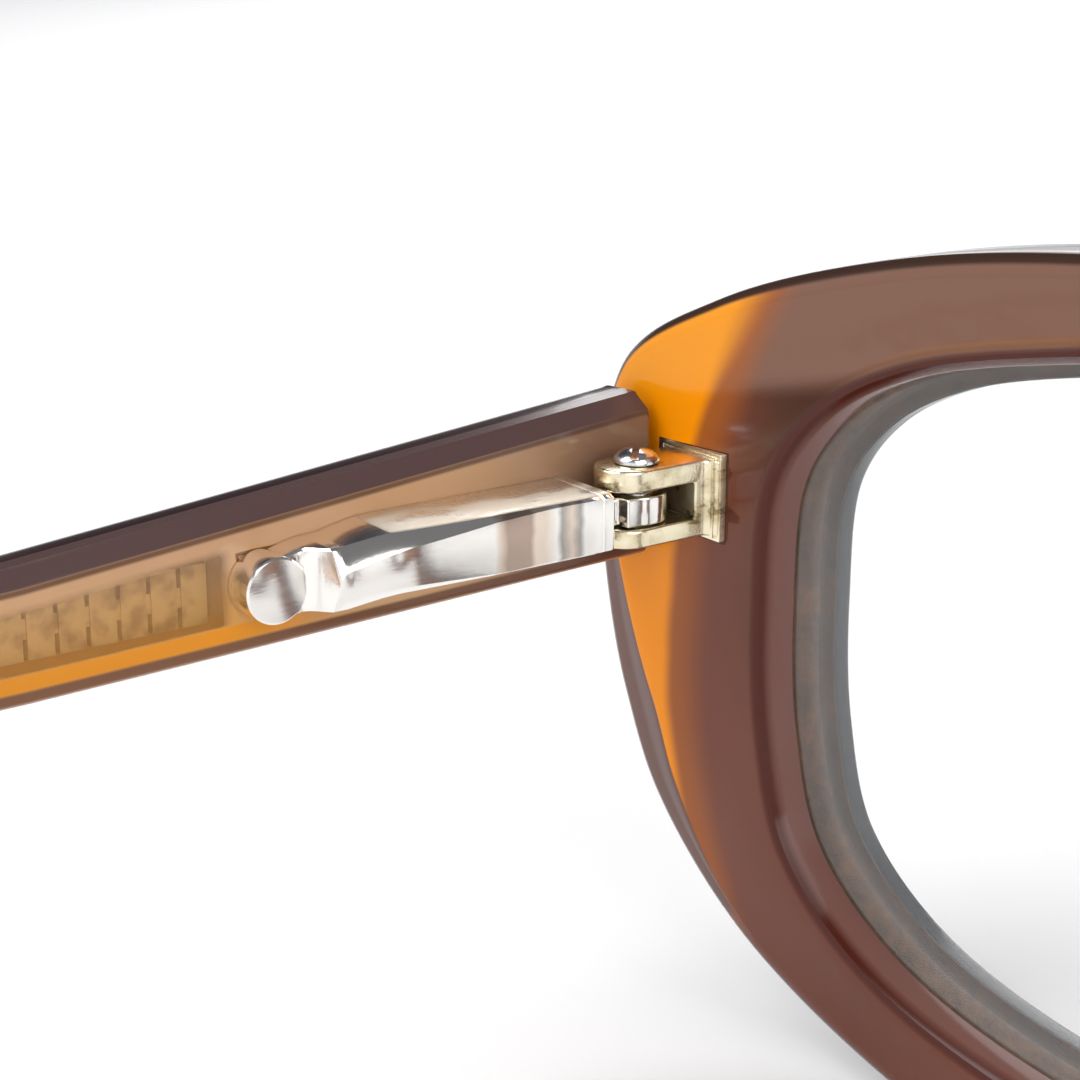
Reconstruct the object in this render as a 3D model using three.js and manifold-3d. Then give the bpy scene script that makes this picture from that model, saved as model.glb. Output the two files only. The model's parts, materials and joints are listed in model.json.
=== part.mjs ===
// Acetate eyeglasses with sprung temple hinges.
// Millimetres. +Z up, the front faces -Y, the temples run towards +Y, +X is the wearer's left.
// The frame stands on the flats under its two rims and its two temple tips, at z = 0.
import * as THREE from "three";
import { mergeVertices } from "three/addons/utils/BufferGeometryUtils.js";
import Module from "manifold-3d";

const wasm = await Module();
wasm.setup();

// ---- Front: driving dimensions ----
const LENS_WIDTH = 50.4; // boxed width of one lens opening
const LENS_HEIGHT = 37.3; // boxed height of one lens opening
const BRIDGE_WIDTH = 18; // between the two lens openings
const END_WIDTH = 12.7; // from the lens opening to the outer edge of the front
const RIM_TOP = 4.4;
const RIM_BOTTOM = 5.3;
const FRONT_THICKNESS = 5.3;
const FRONT_WRAP_RADIUS = 480; // the front is bent round the face on this radius
const BACK_EDGE_BEVEL = 0.9; // bevel round each lens opening on the back
const FRONT_EDGE_BEVEL = 0.4;
const OUTER_ROUNDING = 1.1;
const SIDE_BEVEL_WIDTH = 2.7; // shallow facet down the outer edge of the back
const SIDE_BEVEL_DROP = 0.9;
const SIDE_BEVEL_START = [-0.3, 0.25]; // the facet fades in between these angles below the lens centre
const SIDE_BEVEL_END = [0.15, 0.6]; // and out between these
const BEVEL_SLOPE = 0.7; // depth of the back bevel as a share of its width

// ---- Lens groove and lens ----
const BACK_LIP = 2.2;
const GROOVE_WIDTH = 1.9;
const GROOVE_DEPTH = 1.25;
const FRONT_LIP = 1; // the front lip reaches this much further over the lens than the back one
const LENS_THICKNESS = 1.8;
const LENS_CLEARANCE = 0.15;
const LENS_RINGS = [0.9, 0.45]; // mesh rings drawn in towards the lens centre by these shares

// ---- Hinge: driving dimensions ----
const HINGE_SHARE = 0.4014; // where the screw stands across the end piece, from the lens opening
const HINGE_RISE = 9.35; // top of the upper knuckle above the lens centre line
const AXIS_TO_BACK = 3.7; // screw axis behind the back of the front
const KNUCKLE_HALF = 1.7;
const KNUCKLE_REACH = 2.3; // screw axis to the rounded end of the knuckles
const UPPER_KNUCKLE = 1.15;
const SLOT_HEIGHT = 1.95;
const LOWER_KNUCKLE = 1;
const SLOT_END = 2.6; // screw axis to the closed end of the slot
const KNUCKLE_EDGE = 0.12;
const KNUCKLE_FLARE = 0.6; // fillet between the knuckles and the plate
const PLATE_HALF_WIDTH = 2.4;
const PLATE_THICKNESS = 1.4;
const PLATE_MARGIN = 0.3; // the plate stands out this far above and below the knuckles
const PLATE_PROUD = 0.2;
const RECESS_GAP = 0.1;
const SCREW_RADIUS = 0.6;
const SCREW_HEAD_RADIUS = 1.2;
const SCREW_HEAD_HEIGHT = 0.75;
const SCREW_SLOT_WIDTH = 0.4;
const SCREW_SLOT_DEPTH = 0.4;
const SCREW_SLOT_TURN = -0.76;
const SCREW_SKIRT = 0.2; // upright part of the screw head as a share of its height
const SCREW_DOME_STEPS = 5;
const RUNNING_GAP = 0.05;
const BUSH_WALL = 0.25;

// ---- Sprung slider and housing ----
const TONGUE_HALF = 1.4;
const TONGUE_SHOULDER = 1.6; // screw axis to the square shoulder of the eye
const NECK_HALF = 0.65;
const TONGUE_PLAY = 0.45; // room above and below the eye in the slot, together
const EYE_RADIUS = 1.6;
const EYE_DROP = 0.1; // middle of the eye below the middle of the slot
const NECK_LENGTH = 0.95; // how far the neck reaches into the housing
const ROD_RADIUS = 0.55;
const ROD_HEAD_LENGTH = 0.95;
const HOUSING_START = 2.65; // screw axis to the mouth of the housing
const HOUSING_LENGTH = 19.8;
const HOUSING_HEIGHT = 3.1;
const HOUSING_DROP = 0.8; // top of the housing below the top of the knuckles
const HOUSING_PROUD = 1.9; // near face of the housing from the screw axis
const HOUSING_TOP_EDGE = { rise: 0.27, reach: 0.36 }; // chamfers along the near face
const HOUSING_LOW_EDGE = { rise: 0.45, reach: 0.63 };
const HOUSING_LUG_DEPTH = 1.25; // the lug sunk into the temple
const LUG_MARGIN = 0.35; // the lug lies this far inside the housing's edges
const LUG_SETBACK = 3.4;
const LUG_END_MARGIN = 0.9;
const DISC_RADIUS = 1.65; // the flat round end of the housing
const DISC_PROUD = -0.6; // face of the disc from the screw axis, on the temple side of it
const SADDLE_PROUD = -0.9;
const HOUSING_SAG = 0.85; // middle of the disc below the middle of the mouth

const SPRING_BORE = 1.1;
const SPRING_WIRE = 0.15;
const SPRING_TURNS = 7;
const STOP_THICKNESS = 1;
const STOP_SETBACK = 0.7;
const SPRING_LENGTH = 8.6;
const SLIDE_ROOM = 1.5; // how far the rod can be drawn out

// ---- Temple ----
const TEMPLE_OFFSET = 2.5; // screw axis to the inner face of the temple
const TEMPLE_THICKNESS = 3.5;
const TEMPLE_LENGTH = 145;
const TEMPLE_START = -2.8; // front end of the temple's inner face from the screw axis
const TEMPLE_MITRE = 0.8; // its outer face starts this much further back
const TEMPLE_LINE = 4.2; // the temple's centre line below the top of the knuckles
const TEMPLE_CHAMFER_TOP = 0.75;
const TEMPLE_CHAMFER = 0.45;
const CHAMFER_ROUNDING = 0.3; // the middle of a chamfer lies this share of its width from the corner
const EAR_BEND_START = 88;
const EAR_BEND_RADIUS = 45;
const TIP_HALF_HEIGHT = 3.1;
const TIP_ROUND = 6;
const TIP_TURN = 1.45; // the rounding of the tip ends at this angle in a small flat
const TIP_THINNING = 0.45; // share of the thickness that the rounding takes
const TIP_STEPS = 6;
const REST_FLAT = 0.3; // depth of the flats that the frame stands on
const WIRE_THICKNESS = 1;
const WIRE_HEIGHT = 2.9;
const WIRE_TIP_HEIGHT = 1.6;
const WIRE_RISE = 0.5; // middle of the wire above the temple's centre line
const WIRE_GAP = 0.15;
const WIRE_SETBACK = 0.5; // from the housing's round end to the wire
const WIRE_END_MARGIN = 9; // acetate left at the tip

// ---- Nose pads ----
const PAD_HALF = { x: 2.1, y: 3.4, z: 6.4 };
const PAD_DROP = 2.4; // centre of the pad below the lens centre line
const PAD_LEAN = 0.2;
const PAD_SPLAY = 0.35;

// ---- Worked out from the values above ----
const LENS_X = BRIDGE_WIDTH / 2 + LENS_WIDTH / 2;
const LENS_Z = RIM_BOTTOM + LENS_HEIGHT / 2 - REST_FLAT;
const OPENING_EDGE = LENS_X + LENS_WIDTH / 2;
const HINGE_X = OPENING_EDGE + HINGE_SHARE * END_WIDTH;
const HINGE_Z = LENS_Z + HINGE_RISE;
const HINGE_HEIGHT = UPPER_KNUCKLE + SLOT_HEIGHT + LOWER_KNUCKLE;
const TONGUE_HEIGHT = SLOT_HEIGHT - TONGUE_PLAY;
const SLIDER_Z = -UPPER_KNUCKLE - EYE_DROP - SLOT_HEIGHT / 2;
const HOUSING_END = HOUSING_START + HOUSING_LENGTH;
const HOUSING_MID_Z = -HOUSING_DROP - HOUSING_HEIGHT / 2;
const HOUSING_FOOT = TEMPLE_OFFSET - RUNNING_GAP;
const LUG_TOP = HOUSING_MID_Z + HOUSING_HEIGHT / 2 - LUG_MARGIN - HOUSING_SAG;
const LUG_BOTTOM = HOUSING_MID_Z - HOUSING_HEIGHT / 2 + LUG_MARGIN;
const LUG_START = HOUSING_START + LUG_SETBACK;
const LUG_END = HOUSING_END - LUG_END_MARGIN;
const NECK_END = HOUSING_START + NECK_LENGTH;
const STOP_START = NECK_END + STOP_SETBACK;
const SPRING_START = STOP_START + STOP_THICKNESS + RUNNING_GAP;
const ROD_HEAD_START = SPRING_START + SPRING_LENGTH + RUNNING_GAP;
const BORE_END = ROD_HEAD_START + ROD_HEAD_LENGTH + SLIDE_ROOM;
const WIRE_START = HOUSING_END + WIRE_SETBACK;
const BORE_SIDES = 24;
const EDGE_STEPS = 4; // mesh steps between two points of an outline
const SPRING_STEPS = 10; // mesh steps in one turn of the spring
const TEMPLE_STEP = 6; // mesh steps along the straight of the temple
const BEND_STEP = 3; // and round the ear bend
const DISC_SIDES = 32;
const PAD_STEPS = [20, 14];
const FAR = 4 * TEMPLE_LENGTH; // beyond every piece

// ---- Materials ----
function finish(color, roughness, metalness) {
  return new THREE.MeshStandardMaterial({ color, roughness, metalness });
}

// ---- Mesh and solid helpers ----
function signedVolume(geometry) {
  const p = geometry.getAttribute("position");
  const [a, b, c] = [new THREE.Vector3(), new THREE.Vector3(), new THREE.Vector3()];
  let sum = 0;
  for (let i = 0; i < geometry.index.count; i += 3) {
    a.fromBufferAttribute(p, geometry.index.getX(i));
    b.fromBufferAttribute(p, geometry.index.getX(i + 1));
    c.fromBufferAttribute(p, geometry.index.getX(i + 2));
    sum += a.dot(b.cross(c));
  }
  return sum / 6;
}

// A closed mesh from points and triangles, turned so that its faces point out.
function closedMesh(points, triangles) {
  const geometry = new THREE.BufferGeometry().setFromPoints(points);
  geometry.setIndex(triangles.flat());
  if (signedVolume(geometry) < 0) geometry.setIndex(triangles.map(([a, b, c]) => [a, c, b]).flat());
  return geometry;
}

function solidOf(geometry) {
  const bare = geometry.clone();
  bare.deleteAttribute("normal");
  bare.deleteAttribute("uv");
  const merged = mergeVertices(bare, 1e-4);
  return new wasm.Manifold(
    new wasm.Mesh({
      numProp: 3,
      vertProperties: new Float32Array(merged.getAttribute("position").array),
      triVerts: new Uint32Array(merged.index.array),
    }),
  );
}

function geometryOf(solid) {
  const mesh = solid.getMesh();
  const geometry = new THREE.BufferGeometry();
  geometry.setAttribute("position", new THREE.BufferAttribute(mesh.vertProperties, 3));
  geometry.setIndex(new THREE.BufferAttribute(mesh.triVerts, 1));
  return geometry;
}

function cut(from, ...tools) {
  return geometryOf(tools.reduce((rest, tool) => rest.subtract(solidOf(tool)), solidOf(from)));
}

function join(...parts) {
  return geometryOf(parts.slice(1).reduce((all, part) => all.add(solidOf(part)), solidOf(parts[0])));
}

// Box between two corners.
function block([x0, y0, z0], [x1, y1, z1]) {
  const box = new THREE.BoxGeometry(x1 - x0, y1 - y0, z1 - z0);
  return box.translate((x0 + x1) / 2, (y0 + y1) / 2, (z0 + z1) / 2);
}

// Round bar along Z from z0 to z1.
function postZ(radius, z0, z1, x = 0, y = 0) {
  const bar = new THREE.CylinderGeometry(radius, radius, z1 - z0, BORE_SIDES);
  return bar.rotateX(Math.PI / 2).translate(x, y, (z0 + z1) / 2);
}

// Round bar along Y from y0 to y1, at the slider's height.
function barY(radius, y0, y1) {
  const bar = new THREE.CylinderGeometry(radius, radius, y1 - y0, BORE_SIDES);
  return bar.translate(0, (y0 + y1) / 2, SLIDER_Z);
}

// Closed skin through rings of equal length, with a fan at each end.
function loft(rings) {
  const size = rings[0].length;
  const points = rings.flat();
  const triangles = [];
  for (let ring = 0; ring + 1 < rings.length; ring++)
    for (let i = 0; i < size; i++) {
      const [a, b] = [ring * size + i, ring * size + ((i + 1) % size)];
      triangles.push([a, b, b + size], [a, b + size, a + size]);
    }
  const last = (rings.length - 1) * size;
  for (let i = 1; i + 1 < size; i++) triangles.push([0, i + 1, i], [last, last + i, last + i + 1]);
  return closedMesh(points, triangles);
}

// ---- Outlines of the front, seen from the front ----
// Lens opening: shares of half the boxed width and height, round the lens centre.
const OPENING = [
  [0, 1],
  [0.35, 0.935],
  [0.671, 0.823],
  [0.86, 0.675],
  [0.976, 0.46],
  [1, 0.1],
  [0.982, -0.276],
  [0.905, -0.6],
  [0.66, -0.86],
  [0.174, -1],
  [-0.312, -0.936],
  [-0.737, -0.587],
  [-0.96, -0.09],
  [-1, 0.3],
  [-0.858, 0.716],
  [-0.5, 0.955],
];

// Outer edge of the left half from the top of the bridge to its underside: a point of the lens box,
// then how far it lies outside the box as a share of the end, of half the bridge, or of the rim.
const OUTER = [
  [-1, 0.79, -1, 0],
  [-1, 0.93, -0.06, 0],
  [-0.564, 1, 0, 0.66],
  [-0.02, 1, 0, 1],
  [0.392, 1, 0, 0.86],
  [0.784, 1, 0, 0.45],
  [1, 0.93, 0.362, 0],
  [1, 0.718, 0.858, 0],
  [1, 0.36, 1, 0],
  [1, 0.02, 0.983, 0],
  [1, -0.314, 0.877, 0],
  [1, -0.603, 0.662, 0],
  [1, -0.962, 0.047, 0],
  [0.549, -1, 0, -0.75],
  [0.049, -1, 0, -1],
  [-0.441, -1, 0, -0.62],
  [-0.794, -0.87, 0, 0],
  [-1, -0.437, -0.067, 0],
  [-1, -0.035, -0.42, 0],
  [-1, 0.233, -0.6, 0],
  [-1, 0.33, -1, 0],
];

function outerPoint([u, v, out, up]) {
  const side = out < 0 ? BRIDGE_WIDTH / 2 : END_WIDTH;
  const rim = up < 0 ? RIM_BOTTOM : RIM_TOP;
  return new THREE.Vector3(
    LENS_X + (u * LENS_WIDTH) / 2 + out * side,
    0,
    LENS_Z + (v * LENS_HEIGHT) / 2 + up * rim,
  );
}

function smooth(points, steps) {
  const curve = new THREE.CatmullRomCurve3(points, true, "centripetal");
  const count = points.length * steps;
  return Array.from({ length: count }, (_, i) => curve.getPoint(i / count));
}

// The whole outer edge, the right half mirrored from the left.
function outerOutline() {
  const left = OUTER.map(outerPoint);
  const right = left.slice(1, -1).reverse().map((p) => new THREE.Vector3(-p.x, 0, p.z));
  const all = smooth([...left, ...right], EDGE_STEPS);
  const half = all.slice(1, all.length / 2);
  const mirrored = half.map((p) => new THREE.Vector3(-p.x, 0, p.z)).reverse();
  return [all[0], ...half, all[all.length / 2], ...mirrored];
}

function openingOutline() {
  const points = OPENING.map(
    ([u, v]) => new THREE.Vector3(LENS_X + (u * LENS_WIDTH) / 2, 0, LENS_Z + (v * LENS_HEIGHT) / 2),
  );
  return smooth(points, EDGE_STEPS);
}

// Unit normals of a closed outline in the XZ plane, pointing away from its inside.
function outwardNormals(outline) {
  const area = THREE.ShapeUtils.area(outline.map((p) => new THREE.Vector2(p.x, p.z)));
  const turn = area > 0 ? 1 : -1;
  return outline.map((_, i) => {
    const before = outline[(i + outline.length - 1) % outline.length];
    const after = outline[(i + 1) % outline.length];
    const along = after.clone().sub(before).normalize();
    return new THREE.Vector3(along.z * turn, 0, -along.x * turn);
  });
}

// Back of the front at a distance from the middle: the front is wrapped round the face.
function backFace(x) {
  return -AXIS_TO_BACK + (x * x - HINGE_X * HINGE_X) / (2 * FRONT_WRAP_RADIUS);
}

// A point of the front, from its place in the outline and its depth below the back.
function onFront(point, depth) {
  return new THREE.Vector3(point.x, backFace(point.x) - depth, point.z);
}

// One ring of the front: the outline moved out by an amount, at a depth, each a number or a rule.
function ring(outline, offset, depth) {
  const normals = outwardNormals(outline);
  return outline.map((p, i) => {
    const far = typeof offset === "function" ? offset(p) : offset;
    const deep = typeof depth === "function" ? depth(p) : depth;
    return onFront(p.clone().addScaledVector(normals[i], far), deep);
  });
}

function mirrorRing(points) {
  return points.map((p) => new THREE.Vector3(-p.x, p.y, p.z)).reverse();
}

// How much of the shallow side facet a point of the outer edge has: 1 down the side, 0 elsewhere.
function sideShare(point) {
  const angle = Math.atan2(point.z - LENS_Z, Math.abs(point.x) - LENS_X);
  const rise = THREE.MathUtils.smoothstep(-angle, ...SIDE_BEVEL_START);
  return rise * (1 - THREE.MathUtils.smoothstep(-angle, ...SIDE_BEVEL_END));
}

// ---- Front ----
// The rounding of the outer edge: how far in and how deep, as shares of its radius.
const BACK_ROUNDING = [
  [0.55, 0],
  [0.2, 0.2],
  [0, 0.6],
];
const FRONT_ROUNDING = [
  [0, 1],
  [0.3, 0.35],
  [1, 0],
];

function frontBlank() {
  const outer = outerOutline().reverse();
  const opening = openingOutline();
  const t = FRONT_THICKNESS;
  const r = OUTER_ROUNDING;
  const outerRings = [
    ...BACK_ROUNDING.map(([inset, depth]) =>
      ring(
        outer,
        (p) => -inset * r - (depth ? 0 : SIDE_BEVEL_WIDTH * sideShare(p)),
        (p) => depth * r + (depth ? SIDE_BEVEL_DROP * sideShare(p) : 0),
      ),
    ),
    ...FRONT_ROUNDING.map(([inset, depth]) => ring(outer, -inset * r, t - depth * r)),
  ];
  const holeRings = [
    ring(opening, BACK_EDGE_BEVEL, 0),
    ring(opening, 0, BEVEL_SLOPE * BACK_EDGE_BEVEL),
    ring(opening, 0, BACK_LIP),
    ring(opening, GROOVE_DEPTH, BACK_LIP + GROOVE_WIDTH / 2),
    ring(opening, 0, BACK_LIP + GROOVE_WIDTH),
    ring(opening, -FRONT_LIP, BACK_LIP + GROOVE_WIDTH),
    ring(opening, -FRONT_LIP, t - FRONT_EDGE_BEVEL),
    ring(opening, FRONT_EDGE_BEVEL - FRONT_LIP, t),
  ];
  return frontSkin(outerRings, holeRings, holeRings.map(mirrorRing));
}

// Closed skin from the rings of the outer edge and of each opening, with flat caps front and back.
// Seen from the front, the outer rings run anticlockwise and the openings' rings clockwise.
function frontSkin(...walls) {
  const points = [];
  const triangles = [];
  const caps = { back: [], front: [] };
  for (const rings of walls) {
    const size = rings[0].length;
    const start = points.length;
    const order = rings[0].map((_, i) => i);
    points.push(...rings.flat());
    for (let at = start; at < points.length - size; at += size)
      for (const i of order) {
        const [a, b] = [at + i, at + ((i + 1) % size)];
        triangles.push([a, b, b + size], [a, b + size, a + size]);
      }
    caps.back.push(order.map((i) => start + i));
    caps.front.push(order.map((i) => points.length - size + i));
  }
  for (const [side, loops] of Object.entries(caps)) {
    const flat = loops.map((loop) => loop.map((id) => new THREE.Vector2(points[id].x, points[id].z)));
    const ids = loops.flat();
    for (const triangle of THREE.ShapeUtils.triangulateShape(flat[0], flat.slice(1))) {
      const corners = triangle.map((i) => flat.flat()[i]);
      const clockwise = THREE.ShapeUtils.isClockWise(corners);
      const [a, b, c] = triangle.map((i) => ids[i]);
      triangles.push(clockwise === (side === "back") ? [a, b, c] : [a, c, b]);
    }
  }
  return closedMesh(points, triangles);
}

// Everything above the surface that the frame stands on.
function aboveGround() {
  return solidOf(block([-FAR, -FAR, 0], [FAR, FAR, FAR]));
}

// The pocket in the end piece that the hinge plate is sunk into, for side +1 or -1.
function hingeRecess(side) {
  const half = PLATE_HALF_WIDTH + RECESS_GAP;
  const top = HINGE_Z + PLATE_MARGIN + RECESS_GAP;
  const bottom = HINGE_Z - HINGE_HEIGHT - PLATE_MARGIN - RECESS_GAP;
  const deep = -AXIS_TO_BACK + PLATE_PROUD - PLATE_THICKNESS - RECESS_GAP;
  return block([side * HINGE_X - half, deep, bottom], [side * HINGE_X + half, 0, top]);
}

function frontRim() {
  const pocketed = cut(frontBlank(), hingeRecess(1), hingeRecess(-1));
  return geometryOf(solidOf(pocketed).intersect(aboveGround()));
}

// ---- Lens: a bevelled edge that runs in the groove, and rings that follow the wrap ----
function lens() {
  const opening = openingOutline();
  const middle = new THREE.Vector3(LENS_X, 0, LENS_Z);
  const groove = BACK_LIP + GROOVE_WIDTH / 2;
  const back = groove - LENS_THICKNESS / 2;
  const front = groove + LENS_THICKNESS / 2;
  const shrink = (share) => opening.map((p) => p.clone().lerp(middle, share));
  const edge = -LENS_CLEARANCE;
  const rings = [
    ...LENS_RINGS.map((share) => ring(shrink(share), edge, back)),
    ring(opening, edge, back),
    ring(opening, GROOVE_DEPTH - LENS_CLEARANCE, groove),
    ring(opening, edge, front),
    ...LENS_RINGS.toReversed().map((share) => ring(shrink(share), edge, front)),
  ];
  return loft(rings);
}

// ---- Nose pad: a leaning half egg on the back of the nasal rim ----
function nosePad() {
  const egg = new THREE.SphereGeometry(1, ...PAD_STEPS);
  egg.scale(PAD_HALF.x, PAD_HALF.y, PAD_HALF.z);
  egg.rotateY(PAD_LEAN);
  egg.rotateZ(PAD_SPLAY);
  const x = BRIDGE_WIDTH / 2 - PAD_HALF.x;
  const face = backFace(x + 2 * PAD_HALF.x) + RUNNING_GAP;
  egg.translate(x, face, LENS_Z - PAD_DROP);
  const far = 4 * PAD_HALF.z;
  return cut(egg, block([x - far, face - far, 0], [x + far, face, 2 * LENS_Z]));
}

// ---- Hinge pieces: origin on the screw axis at the top of the upper knuckle ----
function knuckleShape() {
  const middle = KNUCKLE_REACH - KNUCKLE_HALF;
  const root = -AXIS_TO_BACK + PLATE_PROUD;
  const flare = KNUCKLE_HALF + KNUCKLE_FLARE;
  const shape = new THREE.Shape();
  shape.moveTo(flare, root - KNUCKLE_FLARE);
  shape.lineTo(flare, root);
  shape.quadraticCurveTo(KNUCKLE_HALF, root, KNUCKLE_HALF, root + KNUCKLE_FLARE);
  shape.absarc(0, middle, KNUCKLE_HALF, 0, Math.PI, false);
  shape.lineTo(-KNUCKLE_HALF, root + KNUCKLE_FLARE);
  shape.quadraticCurveTo(-KNUCKLE_HALF, root, -flare, root);
  shape.lineTo(-flare, root - KNUCKLE_FLARE);
  return shape;
}

function hingeFront() {
  const edge = KNUCKLE_EDGE;
  const body = new THREE.ExtrudeGeometry(knuckleShape(), {
    depth: HINGE_HEIGHT - 2 * edge,
    bevelThickness: edge,
    bevelSize: edge,
    bevelOffset: -edge,
    bevelSegments: 2,
    curveSegments: 10,
  }).translate(0, 0, edge - HINGE_HEIGHT);
  const root = -AXIS_TO_BACK + PLATE_PROUD;
  const half = PLATE_HALF_WIDTH;
  const low = -HINGE_HEIGHT - PLATE_MARGIN;
  const plate = block([-half, root - PLATE_THICKNESS, low], [half, root + edge, PLATE_MARGIN]);
  const slotTop = -UPPER_KNUCKLE;
  const far = 2 * KNUCKLE_HALF;
  const slot = block([-far, -SLOT_END, slotTop - SLOT_HEIGHT], [far, 2 * KNUCKLE_REACH, slotTop]);
  const hole = postZ(SCREW_RADIUS + RUNNING_GAP, -2 * HINGE_HEIGHT, HINGE_HEIGHT);
  return cut(join(body, plate), slot, hole);
}

function hingeScrew() {
  const seat = RUNNING_GAP;
  const top = seat + SCREW_HEAD_HEIGHT;
  const profile = [new THREE.Vector2(0, -HINGE_HEIGHT + RUNNING_GAP)];
  profile.push(new THREE.Vector2(SCREW_RADIUS, -HINGE_HEIGHT + RUNNING_GAP));
  profile.push(new THREE.Vector2(SCREW_RADIUS, seat));
  profile.push(new THREE.Vector2(SCREW_HEAD_RADIUS, seat));
  for (let i = 0; i < SCREW_DOME_STEPS; i++) {
    const angle = (i / SCREW_DOME_STEPS) * (Math.PI / 2);
    const lift = SCREW_SKIRT + (1 - SCREW_SKIRT) * Math.sin(angle);
    profile.push(new THREE.Vector2(SCREW_HEAD_RADIUS * Math.cos(angle), seat + SCREW_HEAD_HEIGHT * lift));
  }
  profile.push(new THREE.Vector2(0, top));
  const turned = new THREE.LatheGeometry(profile, BORE_SIDES).rotateX(Math.PI / 2);
  const wide = 2 * SCREW_HEAD_RADIUS;
  const half = SCREW_SLOT_WIDTH / 2;
  const slot = block([-wide, -half, top - SCREW_SLOT_DEPTH], [wide, half, 2 * top]);
  return cut(turned, slot.rotateZ(SCREW_SLOT_TURN));
}

function pivotBush() {
  const inner = SCREW_RADIUS + RUNNING_GAP;
  const half = TONGUE_HEIGHT / 2 - RUNNING_GAP;
  const outer = postZ(inner + BUSH_WALL, SLIDER_Z - half, SLIDER_Z + half);
  return cut(outer, postZ(inner, SLIDER_Z - 2 * half, SLIDER_Z + 2 * half));
}

// Square-shouldered eye round the bush, narrow neck, then the rod and its head.
function hingeSlider() {
  const shape = new THREE.Shape();
  const turn = Math.asin(TONGUE_HALF / EYE_RADIUS);
  shape.moveTo(TONGUE_HALF, TONGUE_SHOULDER);
  shape.lineTo(NECK_HALF, TONGUE_SHOULDER);
  shape.lineTo(NECK_HALF, NECK_END);
  shape.lineTo(-NECK_HALF, NECK_END);
  shape.lineTo(-NECK_HALF, TONGUE_SHOULDER);
  shape.lineTo(-TONGUE_HALF, TONGUE_SHOULDER);
  shape.absarc(0, 0, EYE_RADIUS, Math.PI / 2 + turn, Math.PI / 2 - turn + 2 * Math.PI, false);
  const flat = new THREE.ExtrudeGeometry(shape, {
    depth: TONGUE_HEIGHT,
    bevelEnabled: false,
    curveSegments: BORE_SIDES,
  }).translate(0, 0, SLIDER_Z - TONGUE_HEIGHT / 2);
  const rod = barY(ROD_RADIUS, NECK_END - ROD_RADIUS, ROD_HEAD_START + ROD_RADIUS);
  const head = barY(SPRING_BORE - RUNNING_GAP, ROD_HEAD_START, ROD_HEAD_START + ROD_HEAD_LENGTH);
  const eye = SCREW_RADIUS + BUSH_WALL + 2 * RUNNING_GAP;
  return cut(join(flat, rod, head), postZ(eye, -2 * HINGE_HEIGHT, HINGE_HEIGHT));
}

function springStop() {
  const ringBar = barY(SPRING_BORE - RUNNING_GAP, STOP_START, STOP_START + STOP_THICKNESS);
  return cut(ringBar, barY(ROD_RADIUS + RUNNING_GAP, 0, STOP_START + 2 * STOP_THICKNESS));
}

class Coil extends THREE.Curve {
  getPoint(share, target = new THREE.Vector3()) {
    const radius = SPRING_BORE - RUNNING_GAP - SPRING_WIRE;
    const angle = share * SPRING_TURNS * 2 * Math.PI;
    const run = SPRING_LENGTH - 2 * SPRING_WIRE - RUNNING_GAP;
    const y = SPRING_START + SPRING_WIRE + share * run;
    return target.set(radius * Math.cos(angle), y, SLIDER_Z + radius * Math.sin(angle));
  }
}

function hingeSpring() {
  const wire = new THREE.Shape().absarc(0, 0, SPRING_WIRE, 0, 2 * Math.PI, false);
  return new THREE.ExtrudeGeometry(wire, {
    steps: SPRING_TURNS * SPRING_STEPS,
    curveSegments: 3,
    bevelEnabled: false,
    extrudePath: new Coil(),
  });
}

// Section of the housing across the rod: near face, chamfered edges, foot on the temple.
function housingRing(y, proud, half, sag) {
  const z = HOUSING_MID_Z - sag;
  return [
    [-proud, z - half + HOUSING_LOW_EDGE.rise],
    [-proud, z + half - HOUSING_TOP_EDGE.rise],
    [-proud + HOUSING_TOP_EDGE.reach, z + half],
    [HOUSING_FOOT, z + half],
    [HOUSING_FOOT, z - half],
    [-proud + HOUSING_LOW_EDGE.reach, z - half],
  ].map(([x, height]) => new THREE.Vector3(x, y, height));
}

// The housing's sections from its mouth to its round end: how far along as a share of the way,
// how far the near face stands back, how much lower each edge lies, and the share of the sag.
const HOUSING_SECTIONS = [
  [0, 0.15, 0.15, 0],
  [0.018, 0, 0, 0],
  [0.355, 0, 0, 0],
  [0.762, 0.2, 0.1, 0.05],
  [0.87, 0.7, 0.2, 0.7],
  [0.912, HOUSING_PROUD - SADDLE_PROUD, 0.3, 0.9],
  [1, HOUSING_PROUD - SADDLE_PROUD, 0.3, 1],
];

function springHousing() {
  const half = HOUSING_HEIGHT / 2;
  const discY = HOUSING_END - DISC_RADIUS;
  const rings = HOUSING_SECTIONS.map(([share, back, low, sag]) => {
    const y = HOUSING_START + share * (discY - HOUSING_START);
    return housingRing(y, HOUSING_PROUD - back, half - low, sag * HOUSING_SAG);
  });
  const depth = DISC_PROUD + HOUSING_FOOT;
  const disc = new THREE.CylinderGeometry(DISC_RADIUS, DISC_RADIUS, depth, DISC_SIDES)
    .rotateZ(Math.PI / 2)
    .translate((HOUSING_FOOT - DISC_PROUD) / 2, discY, HOUSING_MID_Z - HOUSING_SAG);
  const lug = block(
    [HOUSING_FOOT - LUG_MARGIN, LUG_START, LUG_BOTTOM],
    [TEMPLE_OFFSET + HOUSING_LUG_DEPTH, LUG_END, LUG_TOP],
  );
  const gap = RUNNING_GAP;
  const mouth = block(
    [-TONGUE_HALF - gap, 0, SLIDER_Z - TONGUE_HEIGHT / 2 - gap],
    [TONGUE_HALF + gap, NECK_END + gap, SLIDER_Z + TONGUE_HEIGHT / 2 + gap],
  );
  return cut(join(loft(rings), disc, lug), mouth, barY(SPRING_BORE, HOUSING_START, BORE_END));
}

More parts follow.
